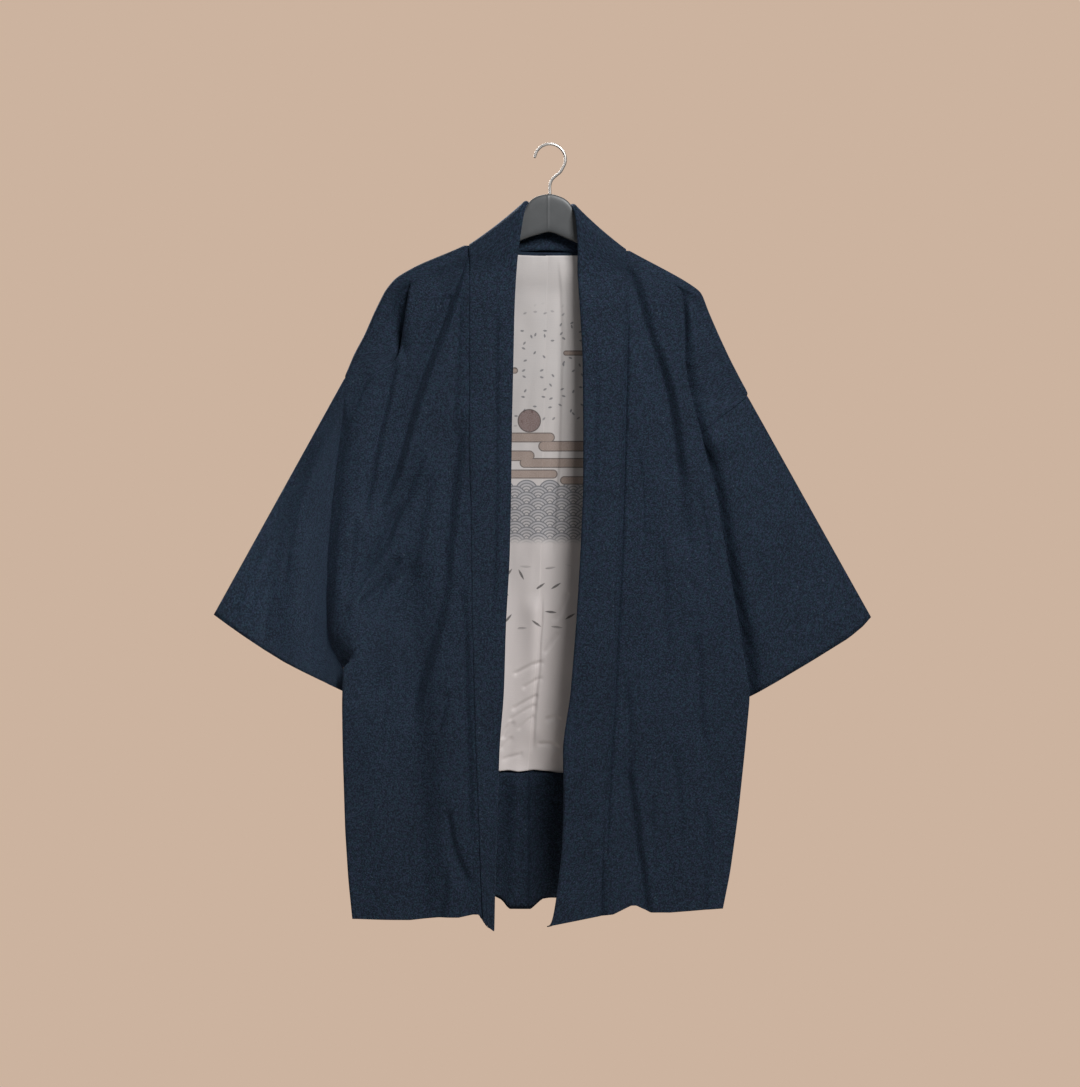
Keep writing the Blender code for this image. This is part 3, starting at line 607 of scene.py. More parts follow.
END_DROP = 2.8         # the flat cloth rounds over late, close to its end
FOLD_FALL = 1.6        # how fast a fold dies away across its reach
FOLD_FADE = 0.14       # the share of a fold's run over which each end fades
TIP = TURN + RETURN + TURN + UNDER + 1
FINE_TO_Z = -186.0     # the levels stand closer together above this, round the shoulder
FINE_STEP = 2.0
LEVEL_STEP = 4.0
SEAM_RISES = (0.0, 1.2, 2.4, 3.8)   # extra levels close above the armhole's top
RIDGE_STEP = 12.0
OUTER_SOFT = 4.0       # how softly a table's rows are joined: the outline, and the pleat
PLEAT_SOFT = 3.0
LEVEL_NEAR = 0.05


def eased(share):
    share = np.clip(share, 0.0, 1.0)
    return share * share * (3 - 2 * share)


def table(rows, column, z, soft=7.0):
    """One column of a table at each height, straight between its rows and rounded over a few mm."""
    keys = np.array([row.z for row in rows], float)[::-1]
    values = np.array([getattr(row, column) for row in rows], float)[::-1]
    fine = np.arange(math.floor(keys[0]), math.ceil(keys[-1]) + 1.0)
    steps = np.interp(fine, keys, values)
    reach = np.arange(-math.ceil(3 * soft), math.ceil(3 * soft) + 1)
    weights = np.exp(-0.5 * (reach / soft) ** 2)
    padded = np.pad(steps, len(reach) // 2, mode="reflect", reflect_type="odd")
    return np.interp(z, fine, np.convolve(padded, weights / weights.sum(), "valid"))


def beside(x, z, run):
    """Distance from each place to a run of points, the side it lies on, and how far along it is."""
    run = np.asarray(run, float)
    steps = np.hypot(*np.diff(run, axis=0).T)
    reached = np.concatenate([[0], np.cumsum(steps)])
    away = np.full(np.shape(x), 1e9)
    along = np.zeros(np.shape(x))
    flank = np.ones(np.shape(x))
    for (x0, z0), (x1, z1), start, step in zip(run, run[1:], reached, steps):
        share = np.clip(((x - x0) * (x1 - x0) + (z - z0) * (z1 - z0)) / step**2, 0, 1)
        distance = np.hypot(x - x0 - share * (x1 - x0), z - z0 - share * (z1 - z0))
        nearer = distance < away
        away = np.where(nearer, distance, away)
        along = np.where(nearer, (start + share * step) / reached[-1], along)
        turn = (x - x0) * (z1 - z0) - (z - z0) * (x1 - x0)
        flank = np.where(nearer, np.sign(turn), flank)
    return away, flank, along


def folded(x, z, folds):
    """How far the folds push the cloth in at each place."""
    total = np.zeros(np.shape(x))
    for reach, depth, edge, run in folds:
        away, flank, along = beside(x, z, run)
        shape = np.exp(-FOLD_FALL * (away / reach) ** 2)
        if edge:
            over = -away * flank * math.copysign(1.0, edge)
            wide = abs(edge)
            back = np.clip(-(over + wide / 2) / reach, 0, None)
            shape = (1 - eased((over + wide / 2) / wide)) * np.exp(-FOLD_FALL * back**1.5)
        total += depth * eased(np.minimum(along, 1 - along) / FOLD_FADE) * shape
    return total


def uneven(x, z, seed, size, height, stretch=2.2, lean=0.0):
    """Unevenness of hanging cloth, longer down the cloth than across it; lean is its slope across."""
    flat = zip(np.ravel(x - lean * z) / size, np.ravel(z + 0.0 * x) / (size * stretch))
    values = [noise.noise(Vector((a, b, seed))) for a, b in flat]
    return height * np.array(values).reshape(np.shape(x))


Rumple = namedtuple("Rumple", "seed height lean")
BACK_RUMPLE = Rumple(9.1, 0.9, 0.1)


class Side:
    """One side of the jacket: its tables, and the places on its cloth worked out from them."""

    def __init__(self, name, out, levels, hem, folds, armhole, rumple):
        self.name = name
        self.out = out
        self.levels = levels
        self.hem = hem
        self.folds = folds
        self.armhole = armhole
        self.rumple = rumple
        top = levels[0].z
        heights = [*np.arange(top, FINE_TO_Z, -FINE_STEP), *np.arange(FINE_TO_Z, HEM_Z, -LEVEL_STEP)]
        heights += [HEM_Z, armhole.foot_z, *(armhole.top_z + rise for rise in SEAM_RISES)]
        self.z = np.unique(np.round(heights, 1))[::-1]
        heights = np.append(np.arange(top, armhole.top_z, -RIDGE_STEP), armhole.top_z)
        self.ridge = list(zip(self.at("outer", heights, OUTER_SOFT), heights))

    def at(self, column, z, soft=7.0):
        return table(self.levels, column, z, soft)

    def slack(self, x, z, back):
        """How far the cloth lies in from its plain shape: folds and unevenness, none at the top fold."""
        folds, rumple = (FOLDS_BACK, BACK_RUMPLE) if back else (self.folds, self.rumple)
        seed = rumple.seed
        shift = folded(x, z, folds)
        shift = shift + uneven(x, z, seed, size=62.0, height=2.2)
        shift = shift + uneven(x, z, seed + 3, size=21.0, height=0.7)
        patches = eased(0.5 + uneven(x, z, seed + 17, size=95.0, height=1.3, stretch=1.4))
        creased = uneven(x, z, seed + 9, 11.0, rumple.height, stretch=6.0, lean=rumple.lean)
        shift = shift + creased * patches
        swell = (self.at("front", z) - SHOULDER_ROUND) * (BACK_SHARE if back else 1.0)
        room = SHOULDER_ROUND + swell - HANGER_CLEAR
        shift = np.where(z > HANGER_CLEAR_Z, np.minimum(shift, room), shift)
        away = beside(x, z, self.ridge)[0]
        return shift * eased((away - RIDGE_CLEAR) / RIDGE_EASE)

    def height(self, x, z, back):
        """A level's own height, apart from the dip at the back neck and the waves of the hem."""
        top = self.levels[0]
        if back:
            dip = (NECK_CENTRE_Z - top.z) * (1 - np.clip(x / top.seam, -1, 1) ** 2)
            share = np.clip((z - NECK_EASE_Z) / (top.z - NECK_EASE_Z), 0, 1)
            z = z + dip * share
        hem = np.array(HEM_BACK if back else self.hem, float)
        low = np.interp(x, hem[:, 0], hem[:, 1])
        ease = np.clip((HEM_EASE_Z - z) / (HEM_EASE_Z - HEM_Z), 0, None)
        return z + ease * (low - HEM_Z)

    def half(self, inner_x, back):
        """(x, depth) for every level and column: the panel, its edge, the return, the tuck, the end."""
        out, z = self.out, self.z
        scale = BACK_SHARE if back else 1.0
        panel_columns = BACK_PANEL if back else PANEL

        def scaled(depth):
            return SHOULDER_ROUND + (depth - SHOULDER_ROUND) * scale

        edge, tuck, outer = self.at("edge", z), self.at("tuck", z), self.at("outer", z, OUTER_SOFT)
        panel, tucked = scaled(self.at("front", z)), scaled(self.at("tuck_depth", z))
        pleat = self.at("pleat", z, PLEAT_SOFT)
        slope = np.abs(np.gradient(outer, z))
        room = ROUND_SHARE * np.abs(outer - self.at("seam", z))
        above = z - self.armhole.top_z
        self.reach = np.minimum(SHOULDER_ROUND * slope, room) * eased(above / ROUND_EASE)
        if back:
            tucked = panel + (tucked - panel) * (1 - 0.5 * eased(above / TUCK_EASE))
        end_x = outer - out * self.reach
        down = np.clip((self.armhole.top_z - z) / (self.armhole.top_z - self.armhole.foot_z), 0, 1)
        bulge = ARM_BULGE * (BACK_BULGE if back else 1.0)
        end_depth = SHOULDER_ROUND + bulge * np.sin(math.pi * down)
        round_half = LAYER / 2
        turn_x = edge - out * round_half
        near_x = tuck + out * round_half
        quarter = np.linspace(math.pi / 2, -math.pi / 2, TURN + 1)[1:-1]
        share = np.linspace(0, 1, panel_columns + 1) ** SEAM_CROWD

        def spread(start, stop, shares):
            return start[:, None] + (stop - start)[:, None] * shares

        xs = [spread(inner_x, turn_x, share)]
        ds = [spread(panel, panel, share)]
        xs.append(turn_x[:, None] + out * round_half * np.cos(quarter))
        ds.append((panel - round_half)[:, None] + round_half * np.sin(quarter))
        share = np.linspace(0, 1, RETURN + 1)
        xs.append(spread(turn_x, near_x, share))
        ds.append(spread(panel - LAYER, tucked + round_half, eased(share)))
        xs.append(near_x[:, None] - out * round_half * np.cos(quarter))
        ds.append(tucked[:, None] + round_half * np.sin(quarter))
        crowd = 1 + (END_CROWD - 1) * eased((ARM_EASE - above) / ARM_EASE)[:, None]
        share = 1 - (1 - np.linspace(0, 1, UNDER + 1)[None, :]) ** crowd
        xs.append(spread(near_x, end_x, share))
        ds.append(spread(tucked - round_half, end_depth, eased(share)))
        x, depth = np.concatenate(xs, axis=1), np.concatenate(ds, axis=1)

        inner = PLEAT_SHARE * np.linspace(0, 1, panel_columns + 1) ** SEAM_CROWD
        rest = 1 - (1 - PLEAT_SHARE) * (1 - np.linspace(0, 1, TIP)[None, 1:]) ** crowd
        share = np.concatenate([np.tile(inner, (len(z), 1)), rest], axis=1)
        plain_x = spread(inner_x, end_x, share)
        drop = np.clip((share - PLEAT_SHARE) / (1 - PLEAT_SHARE), 0, 1)
        plain_depth = spread(panel, end_depth, drop**END_DROP)
        formed = pleat[:, None]
        return plain_x + (x - plain_x) * formed, plain_depth + (depth - plain_depth) * formed

    def grid(self):
        """Every point of a body length, from the front's collar seam over to the centre back."""
        z = self.z
        front_x, front_depth = self.half(self.at("seam", z), False)
        seam = np.array(CENTRE_SEAM, float)[::-1]
        centre = np.interp(z, seam[:, 1], seam[:, 0]) + self.out * SEAM_GAP / 2
        back_x, back_depth = self.half(centre, True)
        level = z[:, None] + np.zeros_like(front_x)
        behind = z[:, None] + np.zeros_like(back_x)
        front_depth = front_depth - self.slack(front_x, level, False)
        back_depth = back_depth - self.slack(back_x, behind, True)
        self.inside = (back_x[:, :BACK_PANEL + 1], back_depth[:, :BACK_PANEL + 1])
        front_plain, back_plain = front_depth.copy(), back_depth.copy()
        from_seam = (back_x - centre[:, None]) / SEAM_REACH
        back_depth = back_depth - SEAM_GROOVE / 2 * np.exp(-(from_seam**2))
        along_arm = (z >= self.armhole.foot_z) & (z <= self.armhole.top_z)
        arm_line = list(zip(self.at("outer", z, OUTER_SOFT)[along_arm], z[along_arm]))
        for x, depth, height in ((front_x, front_depth, level), (back_x, back_depth, behind)):
            drawn = SEAM_GROOVE * np.exp(-((beside(x, height, arm_line)[0] / SEAM_REACH) ** 2))
            drawn[:, : TUCK_COLUMNS - TIP] = 0.0
            depth -= drawn
        front = np.stack([front_x, -front_depth, self.height(front_x, level, False)], axis=-1)
        back = np.stack([back_x, back_depth, self.height(back_x, behind, True)], axis=-1)
        turn = math.pi * np.arange(1, OVER) / OVER
        over_x = self.at("outer", z, OUTER_SOFT)[:, None] - self.out * self.reach[:, None] * (1 - np.sin(turn))
        over_y = -SHOULDER_ROUND * np.cos(turn)[None, :] + np.zeros_like(over_x)
        over = np.stack([over_x, over_y, z[:, None] + np.zeros_like(over_x)], axis=-1)
        self.hole = self.armhole_ring(front_x, front_plain, back_x, back_plain, over)
        from_arm = (z - self.armhole.top_z) / SEAM_REACH
        drawn = SEAM_GROOVE / 3 * np.exp(-(from_arm**2))[:, None]
        over[..., 0] -= self.out * drawn * np.sin(turn)
        over[..., 1] += drawn * np.cos(turn)
        return np.concatenate([front, over, back[:, ::-1]], axis=1)

    def armhole_ring(self, front_x, front_depth, back_x, back_depth, over):
        """The armhole's edge before its seam draws it in, and which way is outward at each point."""
        hole = self.z <= self.armhole.top_z + LEVEL_NEAR
        hole &= self.z >= self.armhole.foot_z - LEVEL_NEAR
        z = self.z[hole]
        front = np.stack([front_x[hole, -1], -front_depth[hole, -1], z], axis=-1)[::-1]
        back = np.stack([back_x[hole, -1], back_depth[hole, -1], z], axis=-1)
        turn = math.pi * np.arange(1, OVER) / OVER
        outward = np.stack([self.out * np.sin(turn), -np.cos(turn), 0 * turn], axis=-1)
        ahead = np.tile((0.0, -1.0, 0.0), (len(front), 1))
        return np.concatenate([front, over[hole][0], back]), np.concatenate([ahead, outward, -ahead])

    def kept(self):
        """Which cells between the levels have cloth: none under the arm."""
        below = self.z[1:][:, None]
        front, back = PANEL + TIP - 1, BACK_PANEL + TIP - 1
        column = np.arange(front + OVER + back)
        last = len(column) - BACK_PANEL - TUCK_COLUMNS
        panel = (column < PANEL + TUCK_COLUMNS) | (column >= last)
        over = (column >= front) & (column < len(column) - back)
        cells = panel[None, :] | (below >= self.armhole.top_z)
        return cells | (~over[None, :] & (below >= self.armhole.foot_z))


def cloth(name, grid, wall, material, kept=None, closed=False):
    """A wall of cloth through a grid of points in mm; its UV map is the cloth laid flat, in metres."""
    rows, columns = grid.shape[:2]
    index = np.arange(rows * columns).reshape(rows, columns)
    following = np.roll(index, -1, axis=1)
    cells = np.stack([index[:-1], index[1:], following[1:], following[:-1]], axis=-1)
    wanted = np.ones(cells.shape[:2], bool)
    if kept is not None:
        wanted[:, : kept.shape[1]] &= kept[:, :columns]
    if not closed:
        wanted[:, -1] = False
    faces = cells[wanted]
    closing = np.nonzero(wanted)[1] == columns - 1
    across = np.cumsum(np.linalg.norm(np.diff(grid, axis=1, prepend=grid[:, :1]), axis=-1), axis=1)
    along = np.cumsum(np.linalg.norm(np.diff(grid, axis=0, prepend=grid[:1]), axis=-1).mean(axis=1))
    flat = np.stack([across, -along[:, None] + np.zeros_like(across)], axis=-1).reshape(-1, 2)
    corners = flat[faces]
    corners[closing, 2:, 0] += across.max() + np.linalg.norm(grid[0, -1] - grid[0, 0])
    used = np.unique(faces)
    renumber = np.zeros(rows * columns, int)
    renumber[used] = np.arange(len(used))
    obj = mesh_object(name, grid.reshape(-1, 3)[used] * MM, renumber[faces], material)
    layer = obj.data.uv_layers.new(name="cut")
    layer.data.foreach_set("uv", (corners * MM).ravel())
    thick = obj.modifiers.new("wall", "SOLIDIFY")
    thick.thickness = wall * MM
    thick.offset = 0.0
    thick.use_even_offset = False
    return obj


RUMPLE_RIGHT = Rumple(1.3, 1.1, 0.42)
RUMPLE_LEFT = Rumple(5.7, 0.8, -0.15)
right = Side("right", -1, RIGHT_LEVELS, HEM_RIGHT, FOLDS_RIGHT, ARMHOLE_RIGHT, RUMPLE_RIGHT)
left = Side("left", 1, LEFT_LEVELS, HEM_LEFT, FOLDS_LEFT, ARMHOLE_LEFT, RUMPLE_LEFT)
for side in (right, left):
    obj = cloth("body_fine_" + side.name, side.grid(), CLOTH, navy, side.kept())
    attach(obj, "root")
    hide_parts("body_" + side.name)

# =================================================================================================
# The sleeves: each one rectangle of the same crepe, folded along its top and sewn to the body's edge
# from the shoulder down; the cuff is open from the top fold to the lower fold.

Cuff = namedtuple("Cuff", "top_x top_z low_x low_z bow")
CUFF_RIGHT = Cuff(-421, -589, -250, -689, ((0, 0), (0.1, 2.0), (0.23, 4.0), (0.38, 5.6),
    (0.53, 6.0), (0.68, 4.6), (0.85, 2.4), (1, 0)))
CUFF_LEFT = Cuff(402, -592, 177, -732, ((0, 0), (0.05, 4.2), (0.14, 7.4), (0.36, 7.0), (0.55, 5.6),
    (0.68, 4.0), (1, 0)))
CUFF_FOLD = 5.0
CUFF_BULGE = 12.0
ARM_LAP = 1.0            # the sleeve starts this far under the body's edge
ARM_DROP = 2.0           # and this far below it
FOOT_ROUND = 3.0         # how far the lower fold stands off the armhole's foot
FOOT_DRAW = 0.7          # how much of the seam's groove it takes
FOOT_STEPS = 5
SLEEVE_STEPS = 84
TOP_CLEAR, TOP_EASE = 1.5, 24.0     # no folds so near the top fold, full ones this far in
LOW_CLEAR, LOW_EASE = 1.0, 14.0     # the same at the lower fold
RUN_ON = 1.4             # the body's folds have faded at 1 / RUN_ON of the way to the cuff
OWN_START = 14.0         # the sleeve's own are full at 1 / OWN_START of it
FOLDS_OUT, FOLDS_IN = -18.0, 8.0    # how far folds may stand out and lie in
SLEEVE_HOLLOW = 2.2      # the least distance from the sleeve's middle to its front or back
SLEEVE_FOLDS_RIGHT = (
    Fold(12, 4.0, 0, ((-281, -540), (-282, -620), (-284, -720))),
    Fold(30, -9.0, 0, ((-276, -320), (-298, -400), (-312, -480), (-318, -560), (-316, -700))),
    Fold(7, -1.4, 0, ((-322, -430), (-348, -500), (-378, -560), (-392, -590))),
    Fold(6, -1.1, 0, ((-306, -430), (-334, -512), (-360, -562), (-376, -596))),
    Fold(8, 1.6, 4, ((-290, -360), (-306, -420), (-322, -490), (-330, -560))),
    Fold(9, 1.4, 5, ((-340, -540), (-352, -590), (-356, -640))),
    Fold(5, 1.0, 3, ((-290, -560), (-296, -610), (-298, -660))),
)
SLEEVE_FOLDS_LEFT = (
    Fold(12, 3.0, 0, ((186, -330), (194, -370), (206, -420), (214, -465), (222, -510), (230, -560),
        (237, -600), (246, -650), (252, -720))),
    Fold(60, -11.5, -10.5, ((191, -320), (199, -370), (209, -407), (219, -451), (226, -495),
        (233, -532), (240, -582), (249, -620), (257, -670), (263, -760))),
    Fold(10, 1.6, 5, ((206, -335), (213, -365), (219, -392))),
    Fold(6, 1.4, 3, ((296, -600), (330, -590), (376, -574))),
    Fold(6, 1.2, 3, ((300, -632), (340, -618), (384, -596))),
    Fold(7, 1.2, 4, ((318, -470), (340, -540), (352, -590))),
    Fold(8, 1.2, 5, ((262, -420), (282, -500), (290, -570))),
)


def sleeve_grid(side, cuff, folds):
    """Rings of points from the body's edge to the cuff, each down the front and back up behind."""
    ring, outward = side.hole
    half = (len(ring) - (OVER - 1)) // 2
    middle = (ring[0] + ring[-1]) / 2
    turn = np.linspace(0, math.pi, FOOT_STEPS + 2)[1:-1, None]
    behind_foot = ring[-1] - middle
    under = np.array([side.out, 0, 1]) * np.sin(turn)
    foot = middle + behind_foot * np.cos(turn) - under * FOOT_ROUND
    below = behind_foot / np.linalg.norm(behind_foot) * np.cos(turn) - under * FOOT_DRAW
    ring, outward = np.concatenate([ring, foot]), np.concatenate([outward, below])
    top, low = ring[half + (OVER - 1) // 2], foot[len(foot) // 2]
    span = math.hypot(low[0] - top[0], low[2] - top[2])
    share = np.clip(np.hypot(ring[:, 0] - top[0], ring[:, 2] - top[2]) / span, 0, 1)
    flat = np.minimum(1.0, np.abs(ring[:, 1]) / SHOULDER_ROUND)
    bow = np.array(cuff.bow, float)
    bowed = np.interp(share, bow[:, 0], bow[:, 1])
    edge = np.array([cuff.low_x - cuff.top_x, cuff.low_z - cuff.top_z], float)
    edge /= np.hypot(*edge)
    # square to the cuff's edge, outward and down
    square = np.array([edge[1], -edge[0]]) * -side.out
    end_x = cuff.top_x + (cuff.low_x - cuff.top_x) * share + square[0] * bowed
    end_z = cuff.top_z + (cuff.low_z - cuff.top_z) * share + square[1] * bowed
    end_y = np.sign(ring[:, 1]) * (CUFF_FOLD * flat + CUFF_BULGE * np.sin(math.pi * share))
    end = np.stack([end_x, end_y, end_z], axis=1)
    down = np.array([side.out * abs(low[2] - top[2]), 0, -abs(low[0] - top[0])]) / span
    start = ring - down * ARM_LAP * flat[:, None]
    steps = np.linspace(0, 1, SLEEVE_STEPS)[:, None, None] ** END_CROWD
    grid = start[None] + (end - start)[None] * steps
    x, y, height = grid[..., 0], grid[..., 1], grid[..., 2]
    out_line = [(top[0], top[2]), (cuff.top_x, cuff.top_z)]
    low_line = [(low[0], low[2]), (cuff.low_x, cuff.low_z)]
    room = eased((beside(x, height, out_line)[0] - TOP_CLEAR) / TOP_EASE)
    room = room * eased((beside(x, height, low_line)[0] - LOW_CLEAR) / LOW_EASE)
    # the body's folds run on past the seam and fade; the sleeve takes up its own from there
    run_on = np.where(y > 0, side.slack(x, height, True), side.slack(x, height, False))
    ring_x, ring_y, ring_z = ring.T
    at_seam = [side.slack(ring_x, ring_z, back) for back in (True, False)]
    at_seam = np.where(ring_y > 0, *at_seam)
    seed = side.rumple.seed
    own = folded(x, height, folds)
    own = own + uneven(x, height, seed + 2, size=48.0, height=1.2)
    own = own + uneven(x, height, seed + 4, size=17.0, height=0.4)
    along = steps[..., 0]
    shift = (run_on - at_seam) * (1 - eased(along * RUN_ON)) + own * eased(along * OWN_START)
    shift = np.clip(shift, FOLDS_OUT, FOLDS_IN) * room
    grid[..., 1] = y - np.sign(y) * np.minimum(shift, np.abs(y) - SLEEVE_HOLLOW)
    reached = np.linalg.norm(grid - start[None], axis=-1, keepdims=True)
    drawn = (SEAM_GROOVE / 3 + (SEAM_GROOVE * 2 / 3 + ARM_DROP) * flat)[None, :, None]
    return grid - outward[None] * drawn * np.exp(-((reached / SEAM_REACH) ** 2))


SLEEVES = ((right, CUFF_RIGHT, SLEEVE_FOLDS_RIGHT), (left, CUFF_LEFT, SLEEVE_FOLDS_LEFT))
for side, cuff, folds in SLEEVES:
    grid = sleeve_grid(side, cuff, folds)
    obj = cloth("sleeve_fine_" + side.name, grid, CLOTH, navy, closed=True)
    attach(obj, "root")
    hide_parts("sleeve_" + side.name)

# =================================================================================================
# The gussets: a narrow strip of the crepe in each side, from the armhole's foot to the hem, folded
# inwards between the front and the back.

GUSSET_IN = (9.0, 24.0)
GUSSET_START = 3.0
GUSSET_GAP = 0.3
GUSSET_CURVE = 1.4       # how round the inner fold is: 1 is a sharp one
GUSSET_COLUMNS = 33

for side in (right, left):
    top_z = side.armhole.foot_z - GUSSET_START
    z = np.concatenate([[top_z], side.z[side.z < top_z - 1]])
    tuck, depth = side.at("tuck", z), side.at("tuck_depth", z)
    inward = GUSSET_IN[0] + (GUSSET_IN[1] - GUSSET_IN[0]) * (top_z - z) / (top_z - HEM_Z)
    level = z[:, None] + np.zeros((1, GUSSET_COLUMNS))
    front_shift = side.slack(tuck, z, False)[:, None]
    back_shift = side.slack(tuck, z, True)[:, None]
    across = np.linspace(-1, 1, GUSSET_COLUMNS)[None, :]
    fold_x = (tuck - side.out * inward)[:, None]
    seam_x = (tuck - side.out * GUSSET_GAP)[:, None]
    x = fold_x + (seam_x - fold_x) * np.abs(across) ** GUSSET_CURVE
    back_depth = SHOULDER_ROUND + (depth - SHOULDER_ROUND) * BACK_SHARE
    front_y, back_y = depth[:, None] - front_shift, back_depth[:, None] - back_shift
    y = np.where(across < 0, front_y, back_y) * across
    height = np.where(across < 0, side.height(x, level, False), side.height(x, level, True))
    obj = cloth("gusset_fine_" + side.name, np.stack([x, y, height], axis=-1), CLOTH, navy)
    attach(obj, "root")
    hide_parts("gusset_" + side.name)

# =================================================================================================
# The hem facing: the back's own crepe turned up inside by a hand's breadth, with the end of the
# centre seam showing down its middle.

LINING_HEM_Z = -787.0
LINING_TOP = {"right": -131.5, "left": -137.0}
LINING_CLEAR = 9.0
LINING_GAP = 3.2
CENTRE_LAP = 5.0
CENTRE_UNDER = 0.9       # how far the left half lies under the right one at the centre seam
CENTRE_SHARP = 14.0      # the left half is out again by 1 / CENTRE_SHARP of the way to its side
INSIDE_CROWD = 1.25      # columns stand closer together at the centre
FACING_DROP = 1.5        # the facing starts this far below the lining's hem
FACING_RISE = 3.0        # and ends this far above the body's
FACING_PROUD = 0.4
FACING_WALL = 1.2
INSIDE_FOLDS = (
    Fold(9, -3.6, 0.3, ((15, -770), (8, -830), (2, -890), (4, -960))),
    Fold(12, -4.5, -1.4, ((-26.5, -770), (-26.5, -966))),
    Fold(16, -3.0, -12.0, ((-6, -740), (-8, -850), (-10, -1000))),
    Fold(8, -1.8, 0.0, ((-46, -780), (-44, -860), (-48, -960))),
)


def inside_grid(side, top_z, low_z, step, columns):
    """A sheet that follows the inside of the back, from the centre seam out to just short of the tuck."""
    z = np.append(np.arange(top_z, low_z, -step), low_z)
    seam = np.array(CENTRE_SEAM, float)[::-1]
    back_x, back_depth = side.inside
    tuck = side.out * side.at("tuck", side.z)
    limit = np.minimum(tuck, side.out * back_x[:, -1]) - LINING_CLEAR
    # the two halves lap at the centre, the wearer's right over the left
    lap = CENTRE_LAP if side is left else CENTRE_LAP / 2
    start = np.interp(side.z, seam[:, 1], seam[:, 0]) - lap
    share = np.linspace(0, 1, columns) ** INSIDE_CROWD
    rows_x = start[:, None] + (side.out * limit - start)[:, None] * share[None, :]
    levels = zip(side.out * rows_x, side.out * back_x, back_depth)
    rows_depth = np.array([np.interp(x, back, deep) for x, back, deep in levels])
    x = np.array([np.interp(z, side.z[::-1], column[::-1]) for column in rows_x.T]).T
    y = np.array([np.interp(z, side.z[::-1], column[::-1]) for column in rows_depth.T]).T
    under = CENTRE_UNDER * np.exp(-((share * CENTRE_SHARP) ** 2))[None, :]
    y -= LINING_GAP if side is right else LINING_GAP - under
    return x, y, z[:, None] + np.zeros_like(x)


hem_crepe = crepe("hem_crepe")
for side in (right, left):
    ends = (LINING_HEM_Z - FACING_DROP, HEM_Z + FACING_RISE)
    x, y, level = inside_grid(side, *ends, step=5.0, columns=40)
    y = y + np.minimum(folded(x, level, INSIDE_FOLDS), FACING_PROUD)
    grid = np.stack([x, y, side.height(x, level, True)], axis=-1)
    obj = cloth("hem_facing_fine_" + side.name, grid, FACING_WALL, hem_crepe)
    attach(obj, "root")
    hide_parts("hem_facing_" + side.name)

# =================================================================================================
# The lining: pale grey silk over the inside of the back, joined down the middle, its hem felled over
# the facing. It carries a generic dyed design: petals, a disc behind mist, scale waves and leaves.

LINING_FOLDS = (
    Fold(16, 1.9, 4, ((10, -134), (14, -180), (16, -230), (15, -300), (13, -380), (9, -450),
        (4, -520))),
    Fold(12, -2.4, 0, ((32, -140), (30, -230), (28, -340), (22, -430))),
    Fold(16, -3.4, 0, ((-20, -560), (-17, -620), (-18, -690), (-22, -760))),
    Fold(9, 2.0, 3, ((-8, -560), (-9, -600), (-11, -625), (-12, -660), (-16, -690), (-19, -740),
        (-20, -768))),
    Fold(5, 1.9, -2.4, ((-6, -646), (-22, -650), (-48, -664))),
    Fold(4.5, 1.7, -2.2, ((-8, -666), (-20, -671), (-36, -681))),
    Fold(5, 1.9, -2.4, ((-14, -688), (-28, -695), (-50, -708))),
    Fold(4.5, 1.7, -2.2, ((-16, -700), (-32, -708), (-54, -722))),
    Fold(4, 1.4, -2, ((-20, -714), (-34, -726), (-42, -734))),
    Fold(5, 2.0, -2.4, ((-46, -722), (-56, -732), (-62, -746))),
    Fold(4, 1.6, -2, ((-48, -742), (-58, -752), (-64, -760))),
    Fold(5, 1.8, 2.4, ((-17, -751), (2, -750), (14, -756))),
    Fold(5, 1.6, 2.4, ((-8, -720), (6, -716), (16, -722))),
    Fold(5, 1.5, 2.2, ((2, -772), (12, -762), (18, -750))),
    Fold(6, 1.4, 3, ((14, -612), (2, -628), (-6, -640))),
    Fold(6, 1.3, 3, ((26, -560), (14, -590), (4, -600))),
    Fold(5, 1.3, -2, ((-34, -762), (-50, -768), (-62, -772))),
)
SILK = (0.470, 0.432, 0.415)
SILK_COOL = (0.430, 0.412, 0.410)
# painted light: a paler silk colour painted in toward the hem, standing in for light
SILK_PAINTED_LIGHT = (0.600, 0.545, 0.530)
BROWN_INK = (0.190, 0.118, 0.080)
RED_INK = (0.100, 0.046, 0.040)
GREY_INK = (0.090, 0.094, 0.104)
BLUE_INK = (0.150, 0.175, 0.215)
LEAF_INK = (0.050, 0.046, 0.046)
SEA_SCALE = 34.0
PAINTED_LIGHT_TOP, PAINTED_LIGHT_LOW = -300, -660   # painted light: the silk is painted paler toward its hem, making up for light that falls short inside


def difference(tree, first, second):
    """One place less another."""
    made = node(tree, "ShaderNodeVectorMath", first, operation="SUBTRACT")
    link(tree, second, made.inputs[1])
    return made.outputs[0]


def scaled_by(tree, place, factor):
    """A place times a factor."""
    made = node(tree, "ShaderNodeVectorMath", place, operation="SCALE")
    link(tree, factor, made.inputs["Scale"])
    return made.outputs[0]


def apart(tree, across, up):
    """The distance of a place that lies so far across and so far up."""
    squares = [maths(tree, "MULTIPLY", value, value) for value in (across, up)]
    return maths(tree, "SQRT", maths(tree, "ADD", *squares))


